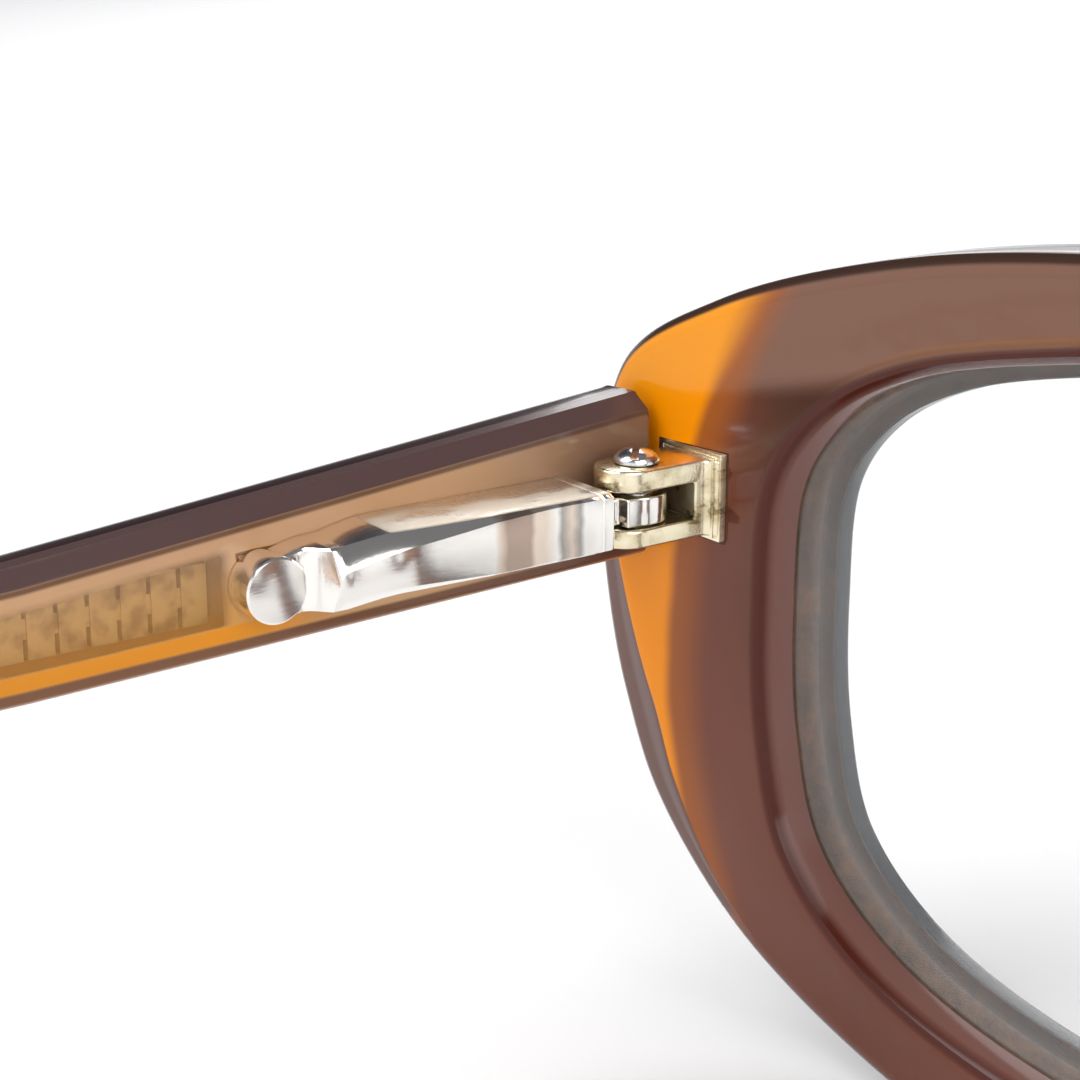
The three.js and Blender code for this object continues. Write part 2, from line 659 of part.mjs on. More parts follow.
// ---- Temple ----
// Angle of the ear bend that brings the underside of the rounded tip down to the ground.
function earAngle() {
  const drop = HINGE_Z - TEMPLE_LINE + REST_FLAT;
  let [low, high] = [0, Math.PI / 2];
  for (let i = 0; i < 40; i++) {
    const angle = (low + high) / 2;
    const reach = Math.hypot(TIP_ROUND * Math.sin(angle), TIP_HALF_HEIGHT * Math.cos(angle));
    if (pathPoint(TEMPLE_LENGTH - TIP_ROUND, angle).fall + reach > drop) high = angle;
    else low = angle;
  }
  return low;
}

// Centre line of the temple at a distance from its front end: straight, an arc, then straight.
function pathPoint(distance, angle) {
  const bend = Math.min(Math.max((distance - EAR_BEND_START) / EAR_BEND_RADIUS, 0), angle);
  const level = Math.min(distance, EAR_BEND_START);
  const tail = Math.max(distance - EAR_BEND_START - EAR_BEND_RADIUS * angle, 0);
  const along = level + EAR_BEND_RADIUS * Math.sin(bend) + tail * Math.cos(angle);
  const fall = EAR_BEND_RADIUS * (1 - Math.cos(bend)) + tail * Math.sin(angle);
  return { along, fall, bend };
}

// Edge of the temple above or below its centre line at a distance from its front end.
function edgeHeight(stations, distance) {
  const next = stations.findIndex(([at]) => at >= distance);
  if (next <= 0) return stations.at(next)[1];
  const [[from, low], [to, high]] = [stations[next - 1], stations[next]];
  const share = (distance - from) / (to - from);
  return low + (high - low) * share;
}

const TOP_EDGE = [
  [0, TEMPLE_LINE + 2.8],
  [36, TEMPLE_LINE - 0.5],
  [60, 2.85],
  [EAR_BEND_START, 2.6],
  [120, TIP_HALF_HEIGHT],
  [2 * TEMPLE_LENGTH, TIP_HALF_HEIGHT],
];
const BOTTOM_EDGE = [
  [0, 1.85],
  [36, 2.75],
  [60, 2.75],
  [EAR_BEND_START, 2.6],
  [120, TIP_HALF_HEIGHT],
  [2 * TEMPLE_LENGTH, TIP_HALF_HEIGHT],
];

// Corner points of a bar's section: [across, up], each corner cut by its own chamfer.
function barSection(inner, outer, bottom, top, topCut, lowCut) {
  const [topRound, lowRound] = [CHAMFER_ROUNDING * topCut, CHAMFER_ROUNDING * lowCut];
  return [
    [inner, bottom + lowCut],
    [inner, top - topCut],
    [inner + topRound, top - topRound],
    [inner + topCut, top],
    [outer - topCut, top],
    [outer - topRound, top - topRound],
    [outer, top - topCut],
    [outer, bottom + lowCut],
    [outer - lowRound, bottom + lowRound],
    [outer - lowCut, bottom],
    [inner + lowCut, bottom],
    [inner + lowRound, bottom + lowRound],
  ];
}

// Place a section on the temple's centre line, in the hinge's frame.
function onTemple(section, distance, angle) {
  const { along, fall, bend } = pathPoint(distance, angle);
  return section.map(
    ([across, up]) =>
      new THREE.Vector3(
        across,
        TEMPLE_START + along + up * Math.sin(bend),
        -TEMPLE_LINE - fall + up * Math.cos(bend),
      ),
  );
}

function stationsBetween(from, to) {
  const marks = [from, to];
  for (let at = TEMPLE_STEP; at < EAR_BEND_START; at += TEMPLE_STEP) marks.push(at);
  for (let at = EAR_BEND_START; at < TEMPLE_LENGTH - TIP_ROUND; at += BEND_STEP) marks.push(at);
  return marks.filter((at) => at >= from && at <= to).sort((a, b) => a - b);
}

function templeBlank(angle) {
  const straight = stationsBetween(0, TEMPLE_LENGTH - TIP_ROUND);
  const rings = straight.map((at) => templeRing(at, angle, 1));
  for (let i = 1; i <= TIP_STEPS; i++) {
    const turn = (i / TIP_STEPS) * TIP_TURN;
    rings.push(templeRing(TEMPLE_LENGTH - TIP_ROUND * (1 - Math.sin(turn)), angle, Math.cos(turn)));
  }
  return loft(rings);
}

function templeRing(at, angle, share) {
  const inner = TEMPLE_OFFSET;
  const outer = TEMPLE_OFFSET + TEMPLE_THICKNESS;
  const middle = (inner + outer) / 2;
  const half = (TEMPLE_THICKNESS / 2) * (1 - TIP_THINNING * (1 - share));
  const top = edgeHeight(TOP_EDGE, at) * share;
  const bottom = -edgeHeight(BOTTOM_EDGE, at) * share;
  const topCut = TEMPLE_CHAMFER_TOP * Math.min(1, share + 0.1);
  const lowCut = TEMPLE_CHAMFER * Math.min(1, share + 0.1);
  const points = onTemple(barSection(middle - half, middle + half, bottom, top, topCut, lowCut), at, angle);
  const mitre = at > 0 ? 0 : TEMPLE_MITRE / TEMPLE_THICKNESS;
  return points.map((p) => p.setY(p.y + (p.x - inner) * mitre));
}

// Flat bar inside the temple, from the housing to near the tip, grown by a gap for its channel.
function coreBar(from, gap, angle) {
  const middle = TEMPLE_OFFSET + TEMPLE_THICKNESS / 2;
  const half = WIRE_THICKNESS / 2 + gap;
  const end = TEMPLE_LENGTH - WIRE_END_MARGIN + gap;
  const rings = stationsBetween(from - TEMPLE_START, end).map((at) => {
    const share = at / TEMPLE_LENGTH;
    const tall = WIRE_HEIGHT + (WIRE_TIP_HEIGHT - WIRE_HEIGHT) * share;
    const [low, high] = [WIRE_RISE - tall / 2 - gap, WIRE_RISE + tall / 2 + gap];
    const section = [
      [middle - half, low],
      [middle - half, high],
      [middle + half, high],
      [middle + half, low],
    ];
    return onTemple(section, at, angle);
  });
  return loft(rings);
}

function temple() {
  const angle = earAngle();
  const gap = RECESS_GAP;
  const pocket = block(
    [0, LUG_START - gap, LUG_BOTTOM - gap],
    [TEMPLE_OFFSET + HOUSING_LUG_DEPTH + gap, LUG_END + gap, LUG_TOP + gap],
  );
  const hollowed = cut(templeBlank(angle), pocket, coreBar(LUG_END, WIRE_GAP, angle));
  const ground = aboveGround().translate([0, 0, -HINGE_Z]);
  return geometryOf(solidOf(hollowed).intersect(ground));
}

function coreWire() {
  return coreBar(WIRE_START, 0, earAngle());
}

// ---- Assembly ----
const ACETATE = finish(0x6a3f2c, 0.18, 0);
const TEMPLE_ACETATE = finish(0x4d3229, 0.2, 0);
const LENS = finish(0xf4f6f6, 0.02, 0);
const NICKEL = finish(0xdccfb4, 0.28, 1);
const CHROME = finish(0xe6e3e0, 0.1, 1);
const STEEL = finish(0xb9b9b6, 0.3, 1);
const BRASS = finish(0xb98d5c, 0.4, 1);
const NYLON = finish(0xe8e2d2, 0.6, 0);

function named(name, geometry, material) {
  const mesh = new THREE.Mesh(geometry, material);
  mesh.name = name;
  return mesh;
}

// One side's pieces. The right side is the left one mirrored.
function sidePieces(side) {
  const pieces = new THREE.Group();
  pieces.scale.x = side === "left" ? 1 : -1;
  pieces.add(named(`lens_${side}`, lens(), LENS));
  pieces.add(named(`nose_pad_${side}`, nosePad(), ACETATE));
  const hinge = new THREE.Group();
  hinge.position.set(HINGE_X, 0, HINGE_Z);
  hinge.add(named(`hinge_front_${side}`, hingeFront(), NICKEL));
  hinge.add(named(`hinge_screw_${side}`, hingeScrew(), STEEL));
  hinge.add(named(`pivot_bush_${side}`, pivotBush(), NYLON));
  hinge.add(named(`hinge_slider_${side}`, hingeSlider(), CHROME));
  hinge.add(named(`spring_stop_${side}`, springStop(), STEEL));
  hinge.add(named(`hinge_spring_${side}`, hingeSpring(), STEEL));
  hinge.add(named(`spring_housing_${side}`, springHousing(), CHROME));
  hinge.add(named(`temple_${side}`, temple(), TEMPLE_ACETATE));
  hinge.add(named(`core_wire_${side}`, coreWire(), BRASS));
  pieces.add(hinge);
  return pieces;
}

// The whole frame, moved so that the middle of its footprint is at the origin.
function eyeglasses() {
  const frame = new THREE.Group();
  frame.add(named("front_rim", frontRim(), ACETATE));
  frame.add(sidePieces("left"), sidePieces("right"));
  const box = new THREE.Box3().setFromObject(frame);
  frame.position.y = -(box.min.y + box.max.y) / 2;
  const part = new THREE.Group();
  part.add(frame);
  return part;
}

export default eyeglasses();
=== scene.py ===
"""Looks of the acetate eyeglasses with sprung temple hinges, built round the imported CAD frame.

Lengths in this file are millimetres until a piece is placed. Hinge lengths are measured from the
screw axis at the top of the upper knuckle: x towards the wearer's left, y rearwards, z up.
"""
import json
import logging
import math
from collections.abc import Iterable, Sequence
from dataclasses import dataclass, field
from enum import Enum

import bmesh
import bpy
from mathutils import Matrix, Vector
from mathutils.geometry import delaunay_2d_cdt
from mathutils.kdtree import KDTree


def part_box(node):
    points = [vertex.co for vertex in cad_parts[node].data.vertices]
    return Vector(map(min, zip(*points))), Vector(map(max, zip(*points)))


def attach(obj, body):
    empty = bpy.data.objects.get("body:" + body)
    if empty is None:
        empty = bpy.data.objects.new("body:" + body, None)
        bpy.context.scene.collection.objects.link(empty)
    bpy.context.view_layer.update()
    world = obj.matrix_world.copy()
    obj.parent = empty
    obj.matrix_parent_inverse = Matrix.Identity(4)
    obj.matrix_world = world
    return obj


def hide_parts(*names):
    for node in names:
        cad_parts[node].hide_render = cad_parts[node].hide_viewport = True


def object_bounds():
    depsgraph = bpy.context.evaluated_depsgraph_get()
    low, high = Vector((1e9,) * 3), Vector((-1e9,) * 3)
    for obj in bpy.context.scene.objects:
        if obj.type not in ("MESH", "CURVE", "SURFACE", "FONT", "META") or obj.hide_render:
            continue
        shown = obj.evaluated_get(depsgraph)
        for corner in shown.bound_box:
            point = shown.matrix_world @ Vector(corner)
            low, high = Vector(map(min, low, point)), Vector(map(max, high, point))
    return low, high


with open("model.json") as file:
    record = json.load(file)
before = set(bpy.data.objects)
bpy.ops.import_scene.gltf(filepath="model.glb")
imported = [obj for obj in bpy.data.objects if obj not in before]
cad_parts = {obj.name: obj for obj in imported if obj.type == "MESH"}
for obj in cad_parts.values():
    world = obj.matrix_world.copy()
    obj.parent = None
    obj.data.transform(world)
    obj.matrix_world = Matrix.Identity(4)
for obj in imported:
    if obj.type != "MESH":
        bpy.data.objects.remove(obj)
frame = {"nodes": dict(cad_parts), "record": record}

LOG = logging.getLogger("eyeglasses")
MM = 0.001
CAD_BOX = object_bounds()
FAR_LOW, FAR_HIGH = (Vector(corner) / MM for corner in CAD_BOX)

Point = tuple[float, float, float]
Ring = list[Point]
Outline = list[tuple[float, float]]


class Side(Enum):
    """The two sides of the frame, with the sign of their x."""

    LEFT = 1
    RIGHT = -1

    @property
    def word(self) -> str:
        """The side's name as the nodes and bodies spell it."""
        return self.name.lower()


def joint_place(name: str) -> Vector:
    """Returns the place of a joint in millimetres.

    Args:
        name: the joint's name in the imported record.

    Returns:
        The joint's position in the part's frame.
    """
    joints = frame["record"]["behaviour"]["joints"]
    found = next(joint for joint in joints if joint["name"] == name)
    return Vector(found["pos_m"]) / MM


HINGE = joint_place("fold_left")


def linear(red: int, green: int, blue: int) -> tuple[float, float, float, float]:
    """Returns a colour given in display values from 0 to 255 as a linear colour.

    Args:
        red: display red.
        green: display green.
        blue: display blue.

    Returns:
        Linear red, green, blue and an alpha of 1.
    """
    channels = [value / 255 for value in (red, green, blue)]
    low = [c / 12.92 if c <= 0.04045 else ((c + 0.055) / 1.055) ** 2.4 for c in channels]
    return (low[0], low[1], low[2], 1.0)


def blend_step(value: float, low: float, high: float) -> float:
    """Returns 0 below low, 1 above high and a smooth rise between them."""
    share = min(max((value - low) / (high - low), 0.0), 1.0)
    return share * share * (3 - 2 * share)


# ---------------------------------------------------------------- shader maths


class Value:
    """A socket that carries a number, with Python's operators."""

    def __init__(self, shader: "Tree", socket: bpy.types.NodeSocket) -> None:
        """Keeps the tree and the socket."""
        self.shader = shader
        self.socket = socket

    def _math(self, operation: str, *others: "Value | float") -> "Value":
        """Adds one Math node.

        Args:
            operation: the Math node's operation.
            others: the second and third inputs.

        Returns:
            The node's result.
        """
        made = self.shader.node("ShaderNodeMath", {"operation": operation}, [self, *others])
        return Value(self.shader, made.outputs[0])

    def _as_value(self, number: float) -> "Value":
        """Returns a number as the output of a Value node."""
        made = self.shader.node("ShaderNodeValue", {}, [])
        made.outputs[0].default_value = number
        return Value(self.shader, made.outputs[0])

    def __add__(self, other: "Value | float") -> "Value":
        """Returns the sum."""
        return self._math("ADD", other)

    __radd__ = __add__

    def __sub__(self, other: "Value | float") -> "Value":
        """Returns the difference."""
        return self._math("SUBTRACT", other)

    def __rsub__(self, other: float) -> "Value":
        """Returns a number less this value."""
        return self._as_value(other)._math("SUBTRACT", self)

    def __mul__(self, other: "Value | float") -> "Value":
        """Returns the product."""
        return self._math("MULTIPLY", other)

    __rmul__ = __mul__

    def __truediv__(self, other: "Value | float") -> "Value":
        """Returns the quotient."""
        return self._math("DIVIDE", other)

    def __rtruediv__(self, other: float) -> "Value":
        """Returns a number divided by this value."""
        return self._as_value(other)._math("DIVIDE", self)

    def __abs__(self) -> "Value":
        """Returns the size without its sign."""
        return self._math("ABSOLUTE")

    def root(self) -> "Value":
        """Returns the square root."""
        return self._math("SQRT")

    def step(self, low: float, high: float) -> "Value":
        """Returns 0 at low and 1 at high with a smooth rise between them, either way round."""
        settings = {"interpolation_type": "SMOOTHSTEP", "data_type": "FLOAT"}
        flip = low > high
        ends = [min(low, high), max(low, high), float(flip), float(not flip)]
        made = self.shader.node("ShaderNodeMapRange", settings, [self, *ends])
        return Value(self.shader, made.outputs[0])

    def band(self, low: float, high: float, soft: float) -> "Value":
        """Returns 1 between low and high and 0 outside, with soft ends."""
        return self.step(low - soft, low + soft) * self.step(high + soft, high - soft)


class Tree:
    """A node tree with one way to add nodes."""

    def __init__(self, tree: bpy.types.NodeTree) -> None:
        """Keeps the tree."""
        self.tree = tree

    def node(self, kind: str, settings: dict, inputs: Sequence | dict) -> bpy.types.Node:
        """Adds any node.

        Args:
            kind: the node's type.
            settings: properties of the node, set before its sockets.
            inputs: a value, a Value or a socket for each input, in order or by name.

        Returns:
            The node.
        """
        made = self.tree.nodes.new(kind)
        for name, setting in settings.items():
            if name == "stops":
                self._set_stops(made.color_ramp, setting)
            else:
                setattr(made, name, setting)
        pairs = inputs.items() if isinstance(inputs, dict) else enumerate(inputs)
        for key, given in pairs:
            self.plug(made.inputs[key], given)
        return made

    @staticmethod
    def _set_stops(ramp: bpy.types.ColorRamp, stops: Iterable[tuple[float, tuple]]) -> None:
        """Gives a ramp its stops.

        Args:
            ramp: the ramp of a Color Ramp node.
            stops: place and linear colour of each stop, in order.
        """
        for index, (place, colour) in enumerate(stops):
            element = ramp.elements[index] if index < 2 else ramp.elements.new(place)
            element.position = place
            element.color = colour

    def plug(self, socket: bpy.types.NodeSocket, given: "Value | bpy.types.NodeSocket | float") -> None:
        """Links or sets one input.

        Args:
            socket: the input.
            given: what it takes.
        """
        if isinstance(given, Value):
            given = given.socket
        if isinstance(given, bpy.types.NodeSocket):
            self.tree.links.new(given, socket)
        else:
            socket.default_value = given

    def mix(self, low: tuple | object, high: tuple | object, share: "Value | float") -> object:
        """Returns a colour between two colours.

        Args:
            low: colour or socket at a share of 0.
            high: colour or socket at a share of 1.
            share: how much of high.

        Returns:
            The mixed colour's socket.
        """
        made = self.node("ShaderNodeMix", {"data_type": "RGBA", "clamp_factor": True}, [])
        self.plug(made.inputs[0], share)
        self.plug(made.inputs[6], low)
        self.plug(made.inputs[7], high)
        return made.outputs[2]


class Shader(Tree):
    """Builds the node tree of one material."""

    def __init__(self, name: str) -> None:
        """Starts an empty material with one Principled shader.

        Args:
            name: the material's name.
        """
        self.material = bpy.data.materials.new(name)
        self.material.use_nodes = True
        super().__init__(self.material.node_tree)
        self.main = self.tree.nodes["Principled BSDF"]

    def place(self) -> tuple[Value, Value, Value]:
        """Returns x, y and z from the left hinge, in millimetres, with x mirrored on the right."""
        spot = self.node("ShaderNodeTexCoord", {}, []).outputs["Object"]
        parts = self.node("ShaderNodeSeparateXYZ", {}, [spot]).outputs
        x, y, z = (Value(self, parts[i]) for i in range(3))
        per_mm = 1 / MM
        return abs(x) * per_mm - HINGE.x, y * per_mm - HINGE.y, z * per_mm - HINGE.z

    def attribute(self, name: str) -> Value:
        """Returns a number stored on the mesh."""
        made = self.node("ShaderNodeAttribute", {"attribute_name": name}, [])
        return Value(self, made.outputs["Fac"])

    def noise(self, size: float, detail: float = 3, stretch: Point = (1, 1, 1)) -> Value:
        """Returns noise from 0 to 1.

        Args:
            size: size of its lumps in millimetres.
            detail: number of finer layers.
            stretch: how much longer the lumps are along x, y and z.

        Returns:
            The noise.
        """
        spot = self.node("ShaderNodeTexCoord", {}, []).outputs["Object"]
        scale = [1 / (MM * size * each) for each in stretch]
        sized = self.node("ShaderNodeMapping", {}, {"Vector": spot, "Scale": scale})
        inputs = {"Vector": sized.outputs[0], "Scale": 1.0, "Detail": detail}
        made = self.node("ShaderNodeTexNoise", {}, inputs)
        return Value(self, made.outputs["Fac"])

    def ramp(self, value: Value, low: float, high: float, stops: list[tuple[float, tuple]]) -> object:
        """Returns a colour picked by a value.

        Args:
            value: what the colour follows.
            low: the value of a ramp place of 0.
            high: the value of a ramp place of 1.
            stops: value and colour of each stop.

        Returns:
            The colour's socket.
        """
        spread = high - low
        placed = [((at - low) / spread, colour) for at, colour in stops]
        share = (value - low) / spread
        return self.node("ShaderNodeValToRGB", {"stops": placed}, [share]).outputs[0]

    def bump(self, height: Value, strength: float, distance: float) -> object:
        """Returns a normal from a height.

        Args:
            height: 0 to 1.
            strength: 0 to 1.
            distance: depth of the relief in millimetres.

        Returns:
            The normal's socket.
        """
        inputs = {"Height": height, "Strength": strength, "Distance": distance * MM}
        return self.node("ShaderNodeBump", {}, inputs).outputs[0]

    def done(self, **inputs: object) -> bpy.types.Material:
        """Sets the Principled shader and returns the material.

        Args:
            inputs: socket names with _ for spaces, and what each takes.

        Returns:
            The material.
        """
        for name, given in inputs.items():
            self.plug(self.main.inputs[name.replace("_", " ")], given)
        return self.material


# ---------------------------------------------------------------- finishes


@dataclass(frozen=True)
class FrontAcetate:
    """Laminated acetate of the front: brown over amber, with a grey front layer and a painted sheen along
    the top of the rim.
    """

    amber: tuple = linear(234, 138, 0)
    # Painted sheen: lighter amber for the end piece over the sheen line.
    amber_sheen: tuple = linear(230, 144, 14)
    ember: tuple = linear(150, 82, 34)
    russet: tuple = linear(112, 62, 46)
    brown: tuple = linear(74, 46, 36)
    deep: tuple = linear(48, 26, 20)
    # Painted sheen: lighter brown for the top rim over the sheen line.
    sheen_brown: tuple = linear(116, 82, 66)
    bevel_line: tuple = linear(72, 26, 14)
    lip: tuple = linear(112, 76, 68)
    groove: tuple = linear(72, 44, 16)
    front_lip: tuple = linear(30, 36, 42)
    front_face: tuple = linear(66, 48, 42)
    edge: tuple = linear(60, 42, 34)
    facet: tuple = linear(96, 64, 56)
    gold: tuple = linear(134, 86, 36)
    thickness: float = 5.3
    back_lip: float = 2.2
    groove_width: float = 1.9

    def make(self) -> bpy.types.Material:
        """Returns the material."""
        shader = Shader("front_acetate")
        x, _, z = shader.place()
        depth = shader.attribute("depth")
        rim = shader.attribute("rim")
        edge = shader.attribute("edge")
        wall = shader.attribute("wall")
        cloud = shader.noise(7, 2)
        border = 0.06 - 0.2915 * z - 0.01349 * z * z
        past = x - border + (cloud - 0.5) * 0.6
        # Over this line the rim takes lighter colours: a painted sheen standing for the gloss on the
        # curved top of the rim.
        sheen = 2.57 - 0.1705 * (x - 5.7) + 0.00305 * (x - 5.7) * (x + 7.2)
        above = (z - sheen).step(-0.9, 0.7)
        body = shader.ramp(
            x, -20, 0, [(-20, self.brown), (-12, self.deep), (-6, self.brown), (-1, self.russet)]
        )
        high = shader.mix(body, self.sheen_brown, above)
        low_tint = shader.mix(high, self.russet, z.step(-6, -16) * 0.7)
        bright = shader.mix(self.amber, self.amber_sheen, above)
        warm = shader.mix(low_tint, self.ember, past.step(-3.2, -0.5))
        soft = 0.55 + 1.1 * z.step(2, 9)
        back = shader.mix(warm, bright, (past / soft).step(-1.0, 0.8))
        specks = shader.noise(0.35, 4)
        line = rim.band(0.95, 1.35, 0.12) * x.step(-10, -17) * (0.1 + specks)
        back = shader.mix(back, self.gold, line * z.step(1, 4) * 0.6)
        back = shader.mix(back, self.bevel_line, rim.step(0.95, 0.7) * 0.8)
        facet = shader.attribute("facet")
        strip = (1.0 + 2.6 * facet - edge).step(-0.06, 0.08) * facet.step(0.02, 0.1)
        back = shader.mix(back, self.facet, strip)
        back = shader.mix(back, self.edge, edge.step(0.62, 0.4) * facet.step(0.2, 0.05))
        grain = shader.noise(0.5, 5, (1, 1, 1))
        streak = shader.noise(2.2, 3, (1, 1, 1))
        golden = shader.mix(self.groove, self.gold, (grain * 0.8 + streak * 0.6 - 0.45).step(0, 0.9))
        groove_end = self.back_lip + self.groove_width
        inner = shader.ramp(
            depth, 0, self.thickness,
            [(0.35, self.bevel_line), (0.75, self.lip), (self.back_lip - 0.1, self.lip)],
        )
        inner = shader.mix(inner, golden, depth.step(self.back_lip - 0.1, self.back_lip + 0.15))
        inner = shader.mix(inner, self.front_lip, depth.step(groove_end - 0.1, groove_end + 0.1))
        front_tint = shader.mix(self.front_face, self.russet, past.step(-1, 3) * 0.35)
        outer = shader.mix(back, front_tint, depth.step(3.2, self.thickness))
        side = shader.mix(outer, self.edge, depth.band(0.6, 4.6, 0.3) * edge.step(0.4, 0.2))
        colour = shader.mix(side, inner, wall.step(0.4, 0.6))
        in_groove = depth.band(self.back_lip, groove_end, 0.1) * wall
        relief = (grain * in_groove) + shader.noise(16, 2) * 0.04
        rough = 0.13 + 0.05 * cloud + in_groove * 0.45
        return shader.done(
            Base_Color=colour,
            Roughness=rough,
            Normal=shader.bump(relief, 0.6, 0.12),
            Coat_Weight=0.1,
            Coat_Roughness=0.05,
            Specular_IOR_Level=0.25,
            IOR=1.49,
        )


@dataclass(frozen=True)
class TempleSkin:
    """Outer layer of a temple: polished dark brown acetate."""

    dark: tuple = linear(44, 28, 30)
    warm: tuple = linear(72, 46, 40)

    def make(self) -> bpy.types.Material:
        """Returns the material."""
        shader = Shader("temple_skin")
        cloud = shader.noise(9, 2, (1, 3, 1))
        colour = shader.mix(self.dark, self.warm, cloud.step(0.35, 0.9))
        return shader.done(
            Base_Color=colour,
            Roughness=0.12 + 0.06 * cloud,
            Normal=shader.bump(shader.noise(14, 2), 0.4, 0.05),
            Coat_Weight=0.2,
            Coat_Roughness=0.04,
            Specular_IOR_Level=0.4,
            IOR=1.49,
        )


@dataclass(frozen=True)
class TempleInner:
    """Inner layer of a temple: translucent tan acetate over the core wire."""

    tan: tuple = linear(196, 156, 114)
    tan_rear: tuple = linear(188, 146, 110)
    shade: tuple = linear(84, 64, 62)
    line: tuple = linear(66, 34, 22)
    ochre: tuple = linear(206, 146, 66)
    amber: tuple = linear(216, 136, 6)
    amber_rear: tuple = linear(210, 132, 26)
    dark: tuple = linear(98, 62, 46)
    base_light: tuple = linear(190, 146, 116)
    wire_start: float = 23.0

    def make(self) -> bpy.types.Material:
        """Returns the material."""
        shader = Shader("temple_inner")
        _, y, _ = shader.place()
        up = shader.attribute("up")
        drop = shader.attribute("drop")
        cloud = shader.noise(5, 3, (1, 4, 1))
        tan = shader.mix(self.tan, self.tan_rear, cloud.step(0.3, 0.8))
        colour = shader.mix(tan, self.ochre, up.step(5.2, 1.6) * y.step(17, 22) * 0.8)
        colour = shader.mix(colour, self.shade, drop.step(0.9, 0.8))
        colour = shader.mix(colour, self.line, drop.band(0.85, 1.15, 0.1) * 0.8)
        colour = shader.mix(colour, self.shade, y.step(12, -2) * 0.75)
        amber = shader.mix(self.amber, self.amber_rear, cloud)
        strip = up.band(0.75, 1.55, 0.1) * y.step(14, 23)
        colour = shader.mix(colour, amber, strip)
        colour = shader.mix(colour, self.dark, up.step(0.85, 0.65) * 0.9)
        colour = shader.mix(colour, self.base_light, up.step(0.3, 0.1) * 0.6)
        window = y.step(self.wire_start - 0.9, self.wire_start)
        window = window * up.step(1.5, 1.7) * drop.step(1.6, 2.2)
        return shader.done(
            Base_Color=colour,
            Roughness=0.14 + 0.06 * cloud,
            Alpha=1 - window * 0.62,
            Normal=shader.bump(shader.noise(12, 2), 0.4, 0.05),
            Coat_Weight=0.15,
            Coat_Roughness=0.05,
            Specular_IOR_Level=0.3,
            IOR=1.49,
        )


@dataclass(frozen=True)
class StampedWire:
    """Dull stamped brass of the core wire."""

    light: tuple = linear(226, 184, 116)
    dark: tuple = linear(164, 124, 74)

    def make(self) -> bpy.types.Material:
        """Returns the material."""
        shader = Shader("stamped_wire")
        cloud = shader.noise(1.2, 4)
        colour = shader.mix(self.dark, self.light, cloud.step(0.3, 0.6))
        return shader.done(
            Base_Color=colour,
            Roughness=0.45 + 0.2 * cloud,
            Metallic=0.35,
            Normal=shader.bump(shader.noise(0.3, 3), 0.5, 0.05),
        )


@dataclass(frozen=True)
class PolishedMetal:
    """Polished chrome with fine wear, rubbed grey on its top face."""

    bright: tuple = linear(246, 243, 238)
    worn: tuple = linear(222, 212, 196)
    rubbed_above: float = -0.84
    tan: tuple = linear(222, 200, 178)
    brown: tuple = linear(150, 112, 88)
    grey: tuple = linear(132, 124, 118)

    def banded(self, shader: Shader, x: Value, y: Value, wear: Value) -> object:
        """Returns the metal's colour with brown, tan and grey bands across the near face.

        The bands stand for what the polished face mirrors. They are part of the colour, so they
        stay in the same places in every view and light.

        Args:
            shader: the material's tree.
            x: place across the temple.
            y: place along the temple.
            wear: noise that roughens the edges of the bands.

        Returns:
            The colour's socket.
        """
        stops = [
            (3.6, self.bright), (4.6, self.bright), (4.9, self.grey), (5.4, self.tan), (6.0, self.grey),
            (6.3, self.bright), (7.0, self.tan), (7.6, self.tan), (7.9, self.brown), (9.3, self.brown),
            (9.8, self.tan), (10.1, self.bright),
        ]
        bands = shader.ramp(y + (wear - 0.5) * 0.5, 3, 11, stops)
        return shader.mix(self.bright, bands, x.step(-1.3, -1.6) * 0.75)

    def make(self) -> bpy.types.Material:
        """Returns the material."""
        shader = Shader("polished_metal")
        x, y, z = shader.place()
        wear = shader.noise(1.1, 5, (1, 2.5, 1))
        top = z.step(self.rubbed_above - 0.03, self.rubbed_above)
        patch = top * wear.step(0.35, 0.6)
        scratch = shader.noise(0.12, 3, (1, 6, 1))
        return shader.done(
            Base_Color=shader.mix(self.banded(shader, x, y, wear), self.worn, patch + top * 0.3),
            Metallic=1.0,
            Roughness=0.1 + patch * 0.25 + top * 0.12 + scratch * 0.08,
            Normal=shader.bump(scratch * 0.25 + wear * top * 1.5, 0.35, 0.03),
        )


@dataclass(frozen=True)
class CastNickel:
    """Cast nickel silver, yellowish, with tarnish in its low spots and painted shade inside its slot."""

    light: tuple = linear(246, 236, 206)
    dull: tuple = linear(198, 180, 138)
    tarnish: tuple = linear(104, 90, 56)
    # Near black: the colour of the painted shade inside the slot.
    inside: tuple = linear(30, 24, 18)
    slot_top: float = -1.2
    slot_bottom: float = -3.05
    slot_end: float = -2.55

    def make(self) -> bpy.types.Material:
        """Returns the material."""
        shader = Shader("cast_nickel")
        x, y, z = shader.place()
        lump = shader.noise(1.4, 5)
        scuff = shader.noise(0.3, 4, (1, 3, 1))
        fine = shader.noise(0.12, 3)
        colour = shader.mix(self.light, self.dull, lump.step(0.4, 0.7) * 0.75)
        colour = shader.mix(colour, self.tarnish, (scuff * lump).step(0.3, 0.45) * 0.8)
        # Painted shade: the slot's faces are made near black and rougher, standing for the shadow between
        # the knuckles.
        slot = z.band(self.slot_bottom, self.slot_top, 0.04) * y.step(self.slot_end - 0.1, self.slot_end)
        slot = slot * x.step(-1.62, -1.5)
        return shader.done(
            Base_Color=shader.mix(colour, self.inside, slot),
            Metallic=1.0,
            Roughness=0.14 + lump * 0.2 + slot * 0.4,
            Normal=shader.bump(lump * 0.8 + scuff * 0.5 + fine * 0.15, 0.45, 0.08),
        )


